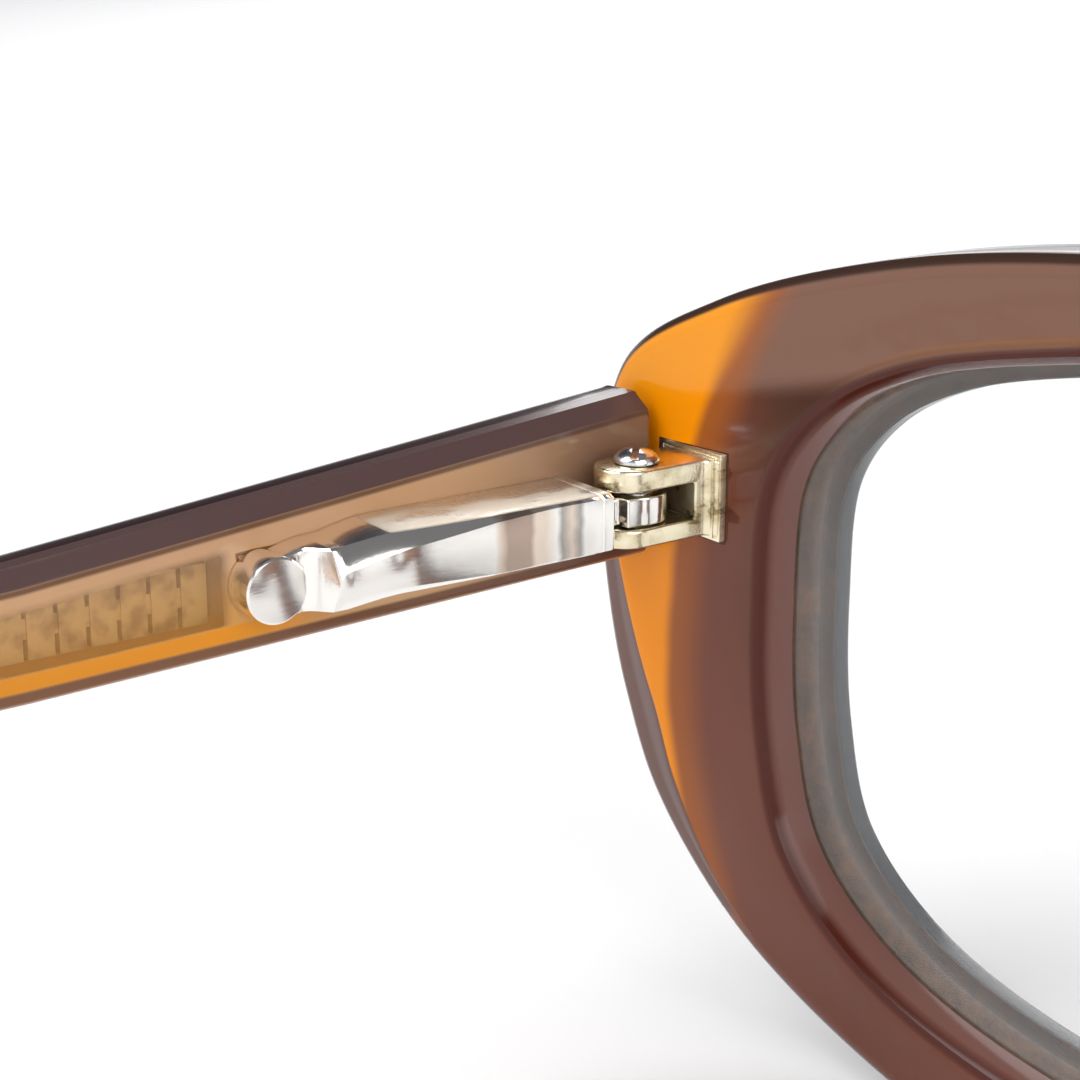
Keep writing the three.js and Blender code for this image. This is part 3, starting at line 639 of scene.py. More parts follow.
@dataclass(frozen=True)
class TurnedSteel:
    """Bright turned steel for screws, springs and stops."""

    steel: tuple = linear(228, 229, 231)
    shadow: tuple = linear(150, 146, 138)

    def make(self) -> bpy.types.Material:
        """Returns the material."""
        shader = Shader("turned_steel")
        grain = shader.noise(0.25, 3)
        return shader.done(
            Base_Color=shader.mix(self.steel, self.shadow, grain.step(0.55, 0.8)),
            Metallic=1.0,
            Roughness=0.1 + grain * 0.14,
            Normal=shader.bump(grain, 0.3, 0.02),
        )


@dataclass(frozen=True)
class Nylon:
    """Natural nylon of the pivot bushes."""

    pale: tuple = linear(232, 226, 210)
    grey: tuple = linear(186, 178, 158)

    def make(self) -> bpy.types.Material:
        """Returns the material."""
        shader = Shader("nylon")
        grain = shader.noise(0.4, 3)
        return shader.done(
            Base_Color=shader.mix(self.pale, self.grey, grain.step(0.5, 0.9)),
            Roughness=0.5 + grain * 0.1,
        )


@dataclass(frozen=True)
class ClearLens:
    """Clear plano lens with a faint grey edge."""

    clear: tuple = linear(250, 252, 252)
    grey: tuple = linear(214, 222, 222)

    def make(self) -> bpy.types.Material:
        """Returns the material."""
        shader = Shader("clear_lens")
        near_edge = shader.attribute("rim").step(0.6, 0.0)
        smear = shader.noise(9, 3)
        return shader.done(
            Base_Color=shader.mix(self.clear, self.grey, near_edge * 0.5 + smear * 0.1),
            Roughness=0.03 + smear * 0.02,
            Alpha=0.07 + near_edge * 0.05,
            Specular_IOR_Level=0.8,
        )


@dataclass(frozen=True)
class PadAcetate:
    """Glued acetate nose pads, brown like the front and a little clearer."""

    brown: tuple = linear(128, 86, 66)
    light: tuple = linear(176, 126, 92)

    def make(self) -> bpy.types.Material:
        """Returns the material."""
        shader = Shader("pad_acetate")
        cloud = shader.noise(4, 3)
        return shader.done(
            Base_Color=shader.mix(self.brown, self.light, cloud.step(0.3, 0.9)),
            Roughness=0.2 + cloud * 0.1,
            Coat_Weight=0.3,
            Coat_Roughness=0.08,
            Subsurface_Weight=0.15,
            Subsurface_Scale=0.001,
            Normal=shader.bump(cloud, 0.2, 0.03),
        )


@dataclass(frozen=True)
class Finishes:
    """Every material of the eyeglasses, made once."""

    front: bpy.types.Material = field(default_factory=lambda: FrontAcetate().make())
    skin: bpy.types.Material = field(default_factory=lambda: TempleSkin().make())
    inner: bpy.types.Material = field(default_factory=lambda: TempleInner().make())
    wire: bpy.types.Material = field(default_factory=lambda: StampedWire().make())
    chrome: bpy.types.Material = field(default_factory=lambda: PolishedMetal().make())
    nickel: bpy.types.Material = field(default_factory=lambda: CastNickel().make())
    steel: bpy.types.Material = field(default_factory=lambda: TurnedSteel().make())
    nylon: bpy.types.Material = field(default_factory=lambda: Nylon().make())
    lens: bpy.types.Material = field(default_factory=lambda: ClearLens().make())
    pad: bpy.types.Material = field(default_factory=lambda: PadAcetate().make())


# ---------------------------------------------------------------- mesh helpers


@dataclass
class Skin:
    """Points and faces of one piece while it is being built."""

    points: list[Point] = field(default_factory=list)
    faces: list[tuple[int, ...]] = field(default_factory=list)

    def loft(self, rings: Sequence[Ring], caps: bool = True) -> "Skin":
        """Adds a skin through rings of equal length.

        Args:
            rings: the rings in order.
            caps: whether the first and last ring are closed.

        Returns:
            This skin.
        """
        start, size = len(self.points), len(rings[0])
        for ring in rings:
            self.points.extend(ring)
        for level in range(len(rings) - 1):
            low = start + level * size
            for i in range(size):
                after = (i + 1) % size
                self.faces.append((low + i, low + after, low + size + after, low + size + i))
        if caps:
            last = start + (len(rings) - 1) * size
            self.faces.append(tuple(range(start, start + size)))
            self.faces.append(tuple(range(last + size - 1, last - 1, -1)))
        return self

    def build(self, name: str, material: bpy.types.Material) -> bpy.types.Object:
        """Makes the object, in millimetres.

        Args:
            name: the piece's name.
            material: its finish.

        Returns:
            The object, linked to the scene.
        """
        piece = self.build_open(name, material)
        face_out(piece.data)
        return piece

    def build_open(self, name: str, material: bpy.types.Material) -> bpy.types.Object:
        """Makes the object as build does, with its points as they are."""
        piece = link(name, self.points, [], self.faces)
        piece.data.materials.append(material)
        return piece


def link(name: str, points: Sequence, edges: Sequence, faces: Sequence) -> bpy.types.Object:
    """Makes an object and links it to the scene.

    Args:
        name: the object's name.
        points: its points, which keep their order.
        edges: pairs of point numbers that aren't on a face.
        faces: point numbers of each face.

    Returns:
        The object.
    """
    mesh = bpy.data.meshes.new(name)
    mesh.from_pydata(points, edges, faces)
    piece = bpy.data.objects.new(name, mesh)
    bpy.context.collection.objects.link(piece)
    return piece


def face_out(mesh: bpy.types.Mesh, merge: float = 1e-5) -> None:
    """Merges points closer than merge, if it isn't 0, and turns every face outwards."""
    made = bmesh.new()
    made.from_mesh(mesh)
    if merge:
        bmesh.ops.remove_doubles(made, verts=made.verts, dist=merge)
    bmesh.ops.recalc_face_normals(made, faces=made.faces)
    made.to_mesh(mesh)
    made.free()


def settle(piece: bpy.types.Object) -> bpy.types.Object:
    """Turns a piece's modifiers into a plain mesh."""
    shape = piece.evaluated_get(bpy.context.evaluated_depsgraph_get())
    old, name = piece.data, piece.data.name
    piece.data = bpy.data.meshes.new_from_object(shape)
    piece.modifiers.clear()
    bpy.data.meshes.remove(old)
    piece.data.name = name
    return piece


def combine(piece: bpy.types.Object, tool: bpy.types.Object, operation: str) -> bpy.types.Object:
    """Joins a tool to a piece or cuts it out, and deletes the tool.

    Args:
        piece: what is kept.
        tool: what is joined or cut out.
        operation: UNION or DIFFERENCE.

    Returns:
        The piece.
    """
    work = piece.modifiers.new(operation.lower(), "BOOLEAN")
    work.operation = operation
    work.solver = "EXACT"
    work.object = tool
    settle(piece)
    bpy.data.objects.remove(tool)
    return piece


def soften(
    piece: bpy.types.Object, width: float, segments: int = 2, angle: float = 30,
) -> bpy.types.Object:
    """Rounds a piece's sharp edges.

    Args:
        piece: the piece.
        width: width of the rounding.
        segments: faces across it.
        angle: edges flatter than this many degrees stay as they are.

    Returns:
        The piece.
    """
    bevel = piece.modifiers.new("edges", "BEVEL")
    bevel.width = width
    bevel.segments = segments
    bevel.limit_method = "ANGLE"
    bevel.angle_limit = math.radians(angle)
    bevel.harden_normals = False
    return settle(piece)


def box(low: Point, high: Point, material: bpy.types.Material) -> bpy.types.Object:
    """Returns a box between two corners, for joining and cutting."""
    (x0, y0, z0), (x1, y1, z1) = low, high
    rings = [[(x0, y, z0), (x1, y, z0), (x1, y, z1), (x0, y, z1)] for y in (y0, y1)]
    return Skin().loft(rings).build("tool", material)


def turned(
    profile: Iterable[tuple[float, float]], axis: str, centre: Point, steps: int,
    material: bpy.types.Material, name: str = "tool",
) -> bpy.types.Object:
    """Returns a piece turned about an axis.

    Args:
        profile: radius and place along the axis, from one end to the other.
        axis: X, Y or Z.
        centre: where the axis lies.
        steps: faces round the piece.
        material: its finish.
        name: its name.

    Returns:
        The object.
    """
    rings = []
    for radius, along in profile:
        circle = [(radius * math.cos(a), radius * math.sin(a)) for a in full_turn(steps)]
        order = {"X": lambda u, v: (along, u, v), "Y": lambda u, v: (v, along, u)}
        at = order.get(axis, lambda u, v: (u, v, along))
        rings.append([tuple(c + p for c, p in zip(centre, at(u, v))) for u, v in circle])
    return Skin().loft(rings).build(name, material)


def full_turn(steps: int) -> list[float]:
    """Returns evenly spaced angles round a circle."""
    return [2 * math.pi * i / steps for i in range(steps)]


def place(piece: bpy.types.Object, side: Side, origin: Vector, crease: float = 32) -> bpy.types.Object:
    """Moves a finished left-hand piece to its side, in metres.

    Args:
        piece: the piece, in millimetres from origin.
        side: which side it is for.
        origin: where its zero lies in the part's frame, in millimetres.
        crease: edges sharper than this many degrees stay sharp.

    Returns:
        The piece.
    """
    mirror = Matrix.Diagonal((side.value, 1, 1, 1))
    piece.data.transform(Matrix.Scale(MM, 4) @ mirror @ Matrix.Translation(origin))
    if side is Side.RIGHT:
        piece.data.flip_normals()
    piece.data.shade_smooth()
    piece.data.set_sharp_from_angle(angle=math.radians(crease))
    return piece


def dress(piece: bpy.types.Object, body: str, slot: str, *nodes: str) -> None:
    """Rides a piece on a body and hides the CAD nodes it stands for.

    Args:
        piece: the piece.
        body: the body it moves with.
        slot: the record's material slot; not used.
        nodes: CAD nodes that it replaces.
    """
    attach(piece, body)
    if nodes:
        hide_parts(*nodes)
    LOG.info("%s: %d faces on %s", piece.name, len(piece.data.polygons), body)


def store(piece: bpy.types.Object, name: str, values: Sequence[float]) -> None:
    """Stores a number on each point of a piece."""
    layer = piece.data.attributes.new(name, "FLOAT", "POINT")
    layer.data.foreach_set("value", values)


# ---------------------------------------------------------------- front and lenses

OPENING = [
    (0, 1), (0.35, 0.935), (0.671, 0.823), (0.86, 0.675), (0.976, 0.46), (1, 0.1), (0.982, -0.276),
    (0.905, -0.6), (0.66, -0.86), (0.174, -1), (-0.312, -0.936), (-0.737, -0.587), (-0.96, -0.09),
    (-1, 0.3), (-0.858, 0.716), (-0.5, 0.955),
]
OUTER = [
    (-1, 0.79, -1, 0), (-1, 0.93, -0.06, 0), (-0.564, 1, 0, 0.66), (-0.02, 1, 0, 1),
    (0.392, 1, 0, 0.86), (0.784, 1, 0, 0.45), (1, 0.93, 0.362, 0), (1, 0.718, 0.858, 0),
    (1, 0.36, 1, 0), (1, 0.02, 0.983, 0), (1, -0.314, 0.877, 0), (1, -0.603, 0.662, 0),
    (1, -0.962, 0.047, 0), (0.549, -1, 0, -0.75), (0.049, -1, 0, -1), (-0.441, -1, 0, -0.62),
    (-0.794, -0.87, 0, 0), (-1, -0.437, -0.067, 0), (-1, -0.035, -0.42, 0), (-1, 0.233, -0.6, 0),
    (-1, 0.33, -1, 0),
]


def smooth_loop(points: Outline, steps: int) -> Outline:
    """Returns a closed centripetal Catmull-Rom curve.

    Args:
        points: the points it passes.
        steps: places between two points.

    Returns:
        Places along the curve.
    """
    count = len(points)
    places = []
    for i in range(count):
        a, b, c, d = (Vector(points[(i + k) % count]) for k in (-1, 0, 1, 2))
        knots = [0.0]
        for start, end in ((a, b), (b, c), (c, d)):
            knots.append(knots[-1] + math.sqrt((end - start).length))
        t0, t1, t2, t3 = knots
        for k in range(steps):
            t = t1 + (t2 - t1) * k / steps
            ab = a.lerp(b, (t - t0) / (t1 - t0))
            bc = b.lerp(c, (t - t1) / (t2 - t1))
            cd = c.lerp(d, (t - t2) / (t3 - t2))
            abc = ab.lerp(bc, (t - t0) / (t2 - t0))
            bcd = bc.lerp(cd, (t - t1) / (t3 - t1))
            places.append(tuple(abc.lerp(bcd, (t - t1) / (t2 - t1))))
    return places


def grown(loop: Outline, by: float | Sequence[float]) -> Outline:
    """Moves a clockwise loop outwards.

    Args:
        loop: the loop.
        by: how far, for all places or each.

    Returns:
        The moved loop.
    """
    moved = []
    for i, (x, z) in enumerate(loop):
        (x0, z0), (x1, z1) = loop[i - 1], loop[(i + 1) % len(loop)]
        along = Vector((x1 - x0, z1 - z0)).normalized()
        far = by if isinstance(by, (int, float)) else by[i]
        moved.append((x - along.y * far, z + along.x * far))
    return moved


@dataclass
class FrontShape:
    """Sizes of the front and the outlines worked out from them, in the part's frame."""

    lens_width: float = 50.4
    lens_height: float = 37.3
    bridge: float = 18
    end: float = 12.7
    rim_top: float = 4.4
    rim_bottom: float = 5.3
    rest_flat: float = 0.3
    thickness: float = 5.3
    wrap_radius: float = 480
    axis_to_back: float = 3.7
    steps: int = 14

    @property
    def middle(self) -> tuple[float, float]:
        """Centre of the left lens opening."""
        height = self.rim_bottom + self.lens_height / 2 - self.rest_flat
        return (self.bridge + self.lens_width) / 2, height

    def outer(self) -> Outline:
        """Returns the whole outer edge, clockwise from the top of the bridge."""
        cx, cz = self.middle
        left = []
        for u, v, out, up in OUTER:
            across = out * (self.bridge / 2 if out < 0 else self.end)
            rise = up * (self.rim_bottom if up < 0 else self.rim_top)
            left.append((cx + u * self.lens_width / 2 + across, cz + v * self.lens_height / 2 + rise))
        right = [(-x, z) for x, z in left[-2:0:-1]]
        return smooth_loop(left + right, self.steps)

    def opening(self, side: Side) -> Outline:
        """Returns a lens opening, clockwise."""
        cx, cz = self.middle
        half_width, half_height = self.lens_width / 2, self.lens_height / 2
        loop = smooth_loop([(cx + u * half_width, cz + v * half_height) for u, v in OPENING], self.steps)
        return loop if side is Side.LEFT else [(-x, z) for x, z in reversed(loop)]

    def back(self, x: float) -> float:
        """Returns the y of the back of the front at a distance from the middle."""
        return HINGE.y - self.axis_to_back + (x * x - HINGE.x * HINGE.x) / (2 * self.wrap_radius)

    def on_front(self, spot: tuple[float, float], depth: float) -> Point:
        """Returns the point of the front at a place of its outline and a depth below its back."""
        return spot[0], self.back(spot[0]) - depth, spot[1]


@dataclass
class Front:
    """The front: a laminated acetate plate with two grooved openings."""

    shape: FrontShape
    rounding: float = 1.1
    roundness: float = 0.75
    pillow: float = 0.35
    pillow_width: float = 4.5
    bevel: float = 0.9
    bevel_depth: float = 0.63
    back_lip: float = 2.2
    groove_width: float = 1.9
    groove_depth: float = 1.25
    front_lip: float = 1.0
    facet_width: float = 2.7
    facet_start: tuple[float, float] = (-0.3, 0.25)
    facet_end: tuple[float, float] = (0.15, 0.6)
    facet_drop: float = 0.9
    cap_grid: float = 1.1
    plate_half: float = 2.42
    recess_top: float = 0.32
    recess_bottom: float = -4.42
    recess_depth: float = 1.3

    def facet_share(self, spot: tuple[float, float]) -> float:
        """Returns how much of the side facet a place of the outer edge has."""
        cx, cz = self.shape.middle
        fall = -math.atan2(spot[1] - cz, abs(spot[0]) - cx)
        return blend_step(fall, *self.facet_start) * (1 - blend_step(fall, *self.facet_end))

    def outer_rings(self, loop: Outline) -> list[tuple[Outline, list[float]]]:
        """Returns the rings of the outer edge from the back to the front.

        Args:
            loop: the outer edge.

        Returns:
            Each ring's outline and the depth of each of its places.
        """
        share = [self.facet_share(spot) for spot in loop]
        count, r, thick = len(loop), self.rounding, self.shape.thickness
        rings = []
        for more in (0.25, 0.1, 0):
            fade = 1 - blend_step(more, 0, self.pillow_width)
            inset = [-r - more - self.facet_width * s for s in share]
            rings.append((grown(loop, inset), [self.pillow * (1 - s) * fade for s in share]))
        for part in (0.3, 0.6, 0.85):
            inset = [-r - self.facet_width * s * (1 - part) for s in share]
            drop = [self.pillow * (1 - s) + (self.facet_drop + 0.1) * s * part for s in share]
            rings.append((grown(loop, inset), drop))
        for turn in (20, 40, 60, 75, 90):
            angle = math.radians(turn)
            inset = r * (1 - math.sin(angle))
            fall = r * (1 - math.cos(angle)) * self.roundness
            drop = [fall + self.pillow * (1 - s) + self.facet_drop * s for s in share]
            rings.append((grown(loop, [-inset] * count), drop))
        for turn in (0, 20, 40, 60, 80, 90):
            angle = math.radians(turn)
            inset, depth = r * (1 - math.cos(angle)), thick - r * (1 - math.sin(angle))
            rings.append((grown(loop, [-inset] * count), [depth] * count))
        return rings

    def hole_rings(self, loop: Outline) -> list[tuple[Outline, list[float]]]:
        """Returns the rings of one lens opening from the back to the front.

        Args:
            loop: the opening's edge.

        Returns:
            Each ring's outline and the depth of each of its places.
        """
        thick = self.shape.thickness
        groove = self.back_lip + self.groove_width / 2
        lip_start = self.back_lip + self.groove_width
        levels = [
            *((self.bevel + more, 0.0) for more in (0.4, 0.2, 0.08)),
            (self.bevel, 0.0), (self.bevel * 0.45, 0.16), (0.06, self.bevel_depth),
            (0.0, self.bevel_depth + 0.12), (0.0, self.back_lip - 0.05), (0.05, self.back_lip),
            (self.groove_depth, groove - 0.12), (self.groove_depth, groove + 0.12),
            (0.1, lip_start - 0.02), (-0.3, lip_start), (0.08 - self.front_lip, lip_start),
            (-self.front_lip, lip_start + 0.08), (-self.front_lip, thick - 0.4),
            (0.12 - self.front_lip, thick - 0.12), (0.4 - self.front_lip, thick),
        ]
        return [(grown(loop, out), [depth] * len(loop)) for out, depth in levels]

    def cap(self, loops: list[Outline]) -> tuple[Outline, list[tuple[int, ...]]]:
        """Fills the face between the outer edge and the openings with small triangles.

        Args:
            loops: the outer edge first, then the openings.

        Returns:
            The places, the loops' own first, and the triangles.
        """
        spots = [Vector(spot) for loop in loops for spot in loop]
        edges, start = [], 0
        for loop in loops:
            edges += [(start + i, start + (i + 1) % len(loop)) for i in range(len(loop))]
            start += len(loop)
        tree = nearest(spots)
        step = self.cap_grid
        xs = [s.x for s in spots]
        zs = [s.y for s in spots]
        for i in range(int((max(xs) - min(xs)) / step)):
            for k in range(int((max(zs) - min(zs)) / step)):
                spot = Vector((min(xs) + (i + 0.5 + 0.5 * (k % 2)) * step, min(zs) + (k + 0.5) * step))
                near = tree.find(spot.to_3d())[2] > 0.55 * step
                if near and inside(spot, loops[0]) and not any(inside(spot, hole) for hole in loops[1:]):
                    spots.append(spot)
        made = delaunay_2d_cdt(spots, edges, [], 0, 1e-6)
        triangles = []
        for corners in made[2]:
            centre = sum((made[0][i] for i in corners), Vector((0, 0))) / len(corners)
            if inside(centre, loops[0]) and not any(inside(centre, hole) for hole in loops[1:]):
                triangles.append(tuple(made[3][i][0] for i in corners))
        return [tuple(spot) for spot in spots], triangles

    def build(self, finishes: Finishes) -> None:
        """Builds and dresses the front."""
        outer = self.shape.outer()
        walls = [self.outer_rings(outer)]
        walls += [self.hole_rings(self.shape.opening(side)) for side in Side]
        skin = Skin()
        facts: list[tuple[float, float]] = []
        first, last = [], []
        for number, rings in enumerate(walls):
            start = len(skin.points)
            for loop, depths in rings:
                skin.points.extend((x, depth, z) for (x, z), depth in zip(loop, depths))
                between = [number > 0 and 0 < depth < self.shape.thickness for depth in depths]
                facts.extend((depth, float(wall)) for depth, wall in zip(depths, between))
            size = len(rings[0][0])
            for level in range(len(rings) - 1):
                low = start + level * size
                for i in range(size):
                    after = (i + 1) % size
                    skin.faces.append((low + i, low + after, low + size + after, low + size + i))
            first.append((rings[0], start))
            last.append((rings[-1], start + (len(rings) - 1) * size))
        for ends, is_back in ((first, True), (last, False)):
            self._add_cap(skin, facts, ends, is_back)
        piece = skin.build_open("front_body", finishes.front)
        outer_tree = nearest([Vector(spot) for spot in outer])
        hole_tree = nearest([Vector(s) for side in Side for s in self.shape.opening(side)])
        spots = [Vector((x, z)).to_3d() for x, _, z in skin.points]
        store(piece, "edge", [outer_tree.find(spot)[2] for spot in spots])
        store(piece, "rim", [hole_tree.find(spot)[2] for spot in spots])
        store(piece, "depth", [depth for depth, _ in facts])
        store(piece, "wall", [wall for _, wall in facts])
        store(piece, "facet", [self.facet_share((x, z)) for x, _, z in skin.points])
        for vertex in piece.data.vertices:
            x, depth, z = vertex.co
            x = min(max(x, FAR_LOW.x), FAR_HIGH.x)
            vertex.co = self.shape.on_front((x, min(max(z, 0), FAR_HIGH.z)), depth)
        face_out(piece.data)
        for side in Side:
            middle = side.value * HINGE.x
            low = (middle - self.plate_half, HINGE.y - self.shape.axis_to_back - self.recess_depth + 0.2,
                   HINGE.z + self.recess_bottom)
            high = (middle + self.plate_half, HINGE.y, HINGE.z + self.recess_top)
            combine(piece, box(low, high, finishes.front), "DIFFERENCE")
        place(piece, Side.LEFT, Vector((0, 0, 0)), crease=28)
        dress(piece, "front", "front_acetate", "front_rim")

    def _add_cap(self, skin: Skin, facts: list, ends: list, is_back: bool) -> None:
        """Adds the back or the front face.

        Args:
            skin: the front's points and faces.
            facts: depth and wall mark of each point.
            ends: the first or last ring of each wall and where its points start.
            is_back: whether this is the back.
        """
        loops = [ring[0] for ring, _ in ends]
        known = [start + i for (ring, start) in ends for i in range(len(ring[0]))]
        edge_depth = [depth for ring, _ in ends for depth in ring[1]]
        spots, triangles = self.cap(loops)
        tree = nearest([Vector(spot) for spot in loops[0]])
        ids = list(known)
        for x, z in spots[len(known):]:
            _, index, far = tree.find(Vector((x, z, 0)))
            fade = 1 - blend_step(far, 0, self.pillow_width)
            depth = edge_depth[index] * fade if is_back else self.shape.thickness
            ids.append(len(skin.points))
            skin.points.append((x, depth, z))
            facts.append((depth, 0.0))
        skin.faces.extend(tuple(ids[i] for i in triangle) for triangle in triangles)


def nearest(spots: Sequence[Vector]) -> KDTree:
    """Returns a search tree over flat places."""
    tree = KDTree(len(spots))
    for index, spot in enumerate(spots):
        tree.insert(spot.to_3d(), index)
    tree.balance()
    return tree


def inside(spot: Vector, loop: Outline) -> bool:
    """Returns whether a place lies inside a loop."""
    x, z = spot
    found = False
    x0, z0 = loop[-1]
    for x1, z1 in loop:
        if (z0 > z) != (z1 > z) and x < (x1 - x0) * (z - z0) / (z1 - z0) + x0:
            found = not found
        x0, z0 = x1, z1
    return found


@dataclass
class Lens:
    """A clear lens whose bevel runs in the groove."""

    shape: FrontShape
    side: Side
    thickness: float = 1.8
    groove_middle: float = 3.15
    groove_depth: float = 1.25
    clearance: float = 0.15
    shrinks: tuple[float, ...] = (0.97, 0.85, 0.65, 0.45, 0.25, 0.1)

    def build(self, finishes: Finishes) -> None:
        """Builds and dresses the lens."""
        loop = grown(self.shape.opening(self.side), -self.clearance)
        cx, cz = self.shape.middle
        cx *= self.side.value
        back, front = self.groove_middle - self.thickness / 2, self.groove_middle + self.thickness / 2
        rows = [(self.shrunk(loop, cx, cz, share), back) for share in self.shrinks]
        rows += [(loop, back), (grown(loop, self.groove_depth), self.groove_middle - 0.05)]
        rows += [(grown(loop, self.groove_depth), self.groove_middle + 0.05), (loop, front)]
        rows += [(self.shrunk(loop, cx, cz, share), front) for share in reversed(self.shrinks)]
        rings = [[self.shape.on_front(spot, depth) for spot in row] for row, depth in rows]
        piece = Skin().loft(rings).build(f"lens_clear_{self.side.word}", finishes.lens)
        tree = nearest([Vector(spot) for spot in loop])
        store(piece, "rim", [tree.find(Vector((v.co.x, v.co.z, 0)))[2] for v in piece.data.vertices])
        place(piece, Side.LEFT, Vector((0, 0, 0)), crease=25)
        dress(piece, "front", "clear_lens", f"lens_{self.side.word}")

    @staticmethod
    def shrunk(loop: Outline, cx: float, cz: float, share: float) -> Outline:
        """Returns a loop drawn in towards a centre by a share."""
        return [(x + (cx - x) * share, z + (cz - z) * share) for x, z in loop]


@dataclass
class NosePad:
    """A leaning half egg glued to the back of the nasal rim."""

    shape: FrontShape
    side: Side
    half: Point = (2.1, 3.4, 6.4)
    drop: float = 2.4
    lean: float = 0.2
    splay: float = 0.35
    steps: int = 40

    def build(self, finishes: Finishes) -> None:
        """Builds and dresses the pad."""
        turn = Matrix.Rotation(self.splay, 3, "Z") @ Matrix.Rotation(self.lean, 3, "Y")
        rings = []
        for level in range(1, self.steps // 2):
            fall = math.pi * level / (self.steps // 2)
            ring = [
                turn @ Vector((self.half[0] * math.sin(fall) * math.cos(a),
                               self.half[1] * math.sin(fall) * math.sin(a),
                               self.half[2] * math.cos(fall)))
                for a in full_turn(self.steps)
            ]
            rings.append([tuple(spot) for spot in ring])
        x = self.shape.bridge / 2 - self.half[0]
        face = self.shape.back(x + 2 * self.half[0]) + 0.05
        piece = Skin().loft(rings).build(f"pad_{self.side.word}", finishes.pad)
        cutter = box((-20, -20, -20), (20, 0, 20), finishes.pad)
        combine(piece, cutter, "DIFFERENCE")
        soften(piece, 0.25, 3, 40)
        place(piece, self.side, Vector((x, face, self.shape.middle[1] - self.drop)), crease=60)
        dress(piece, "front", "front_acetate", f"nose_pad_{self.side.word}")


# ---------------------------------------------------------------- hinge


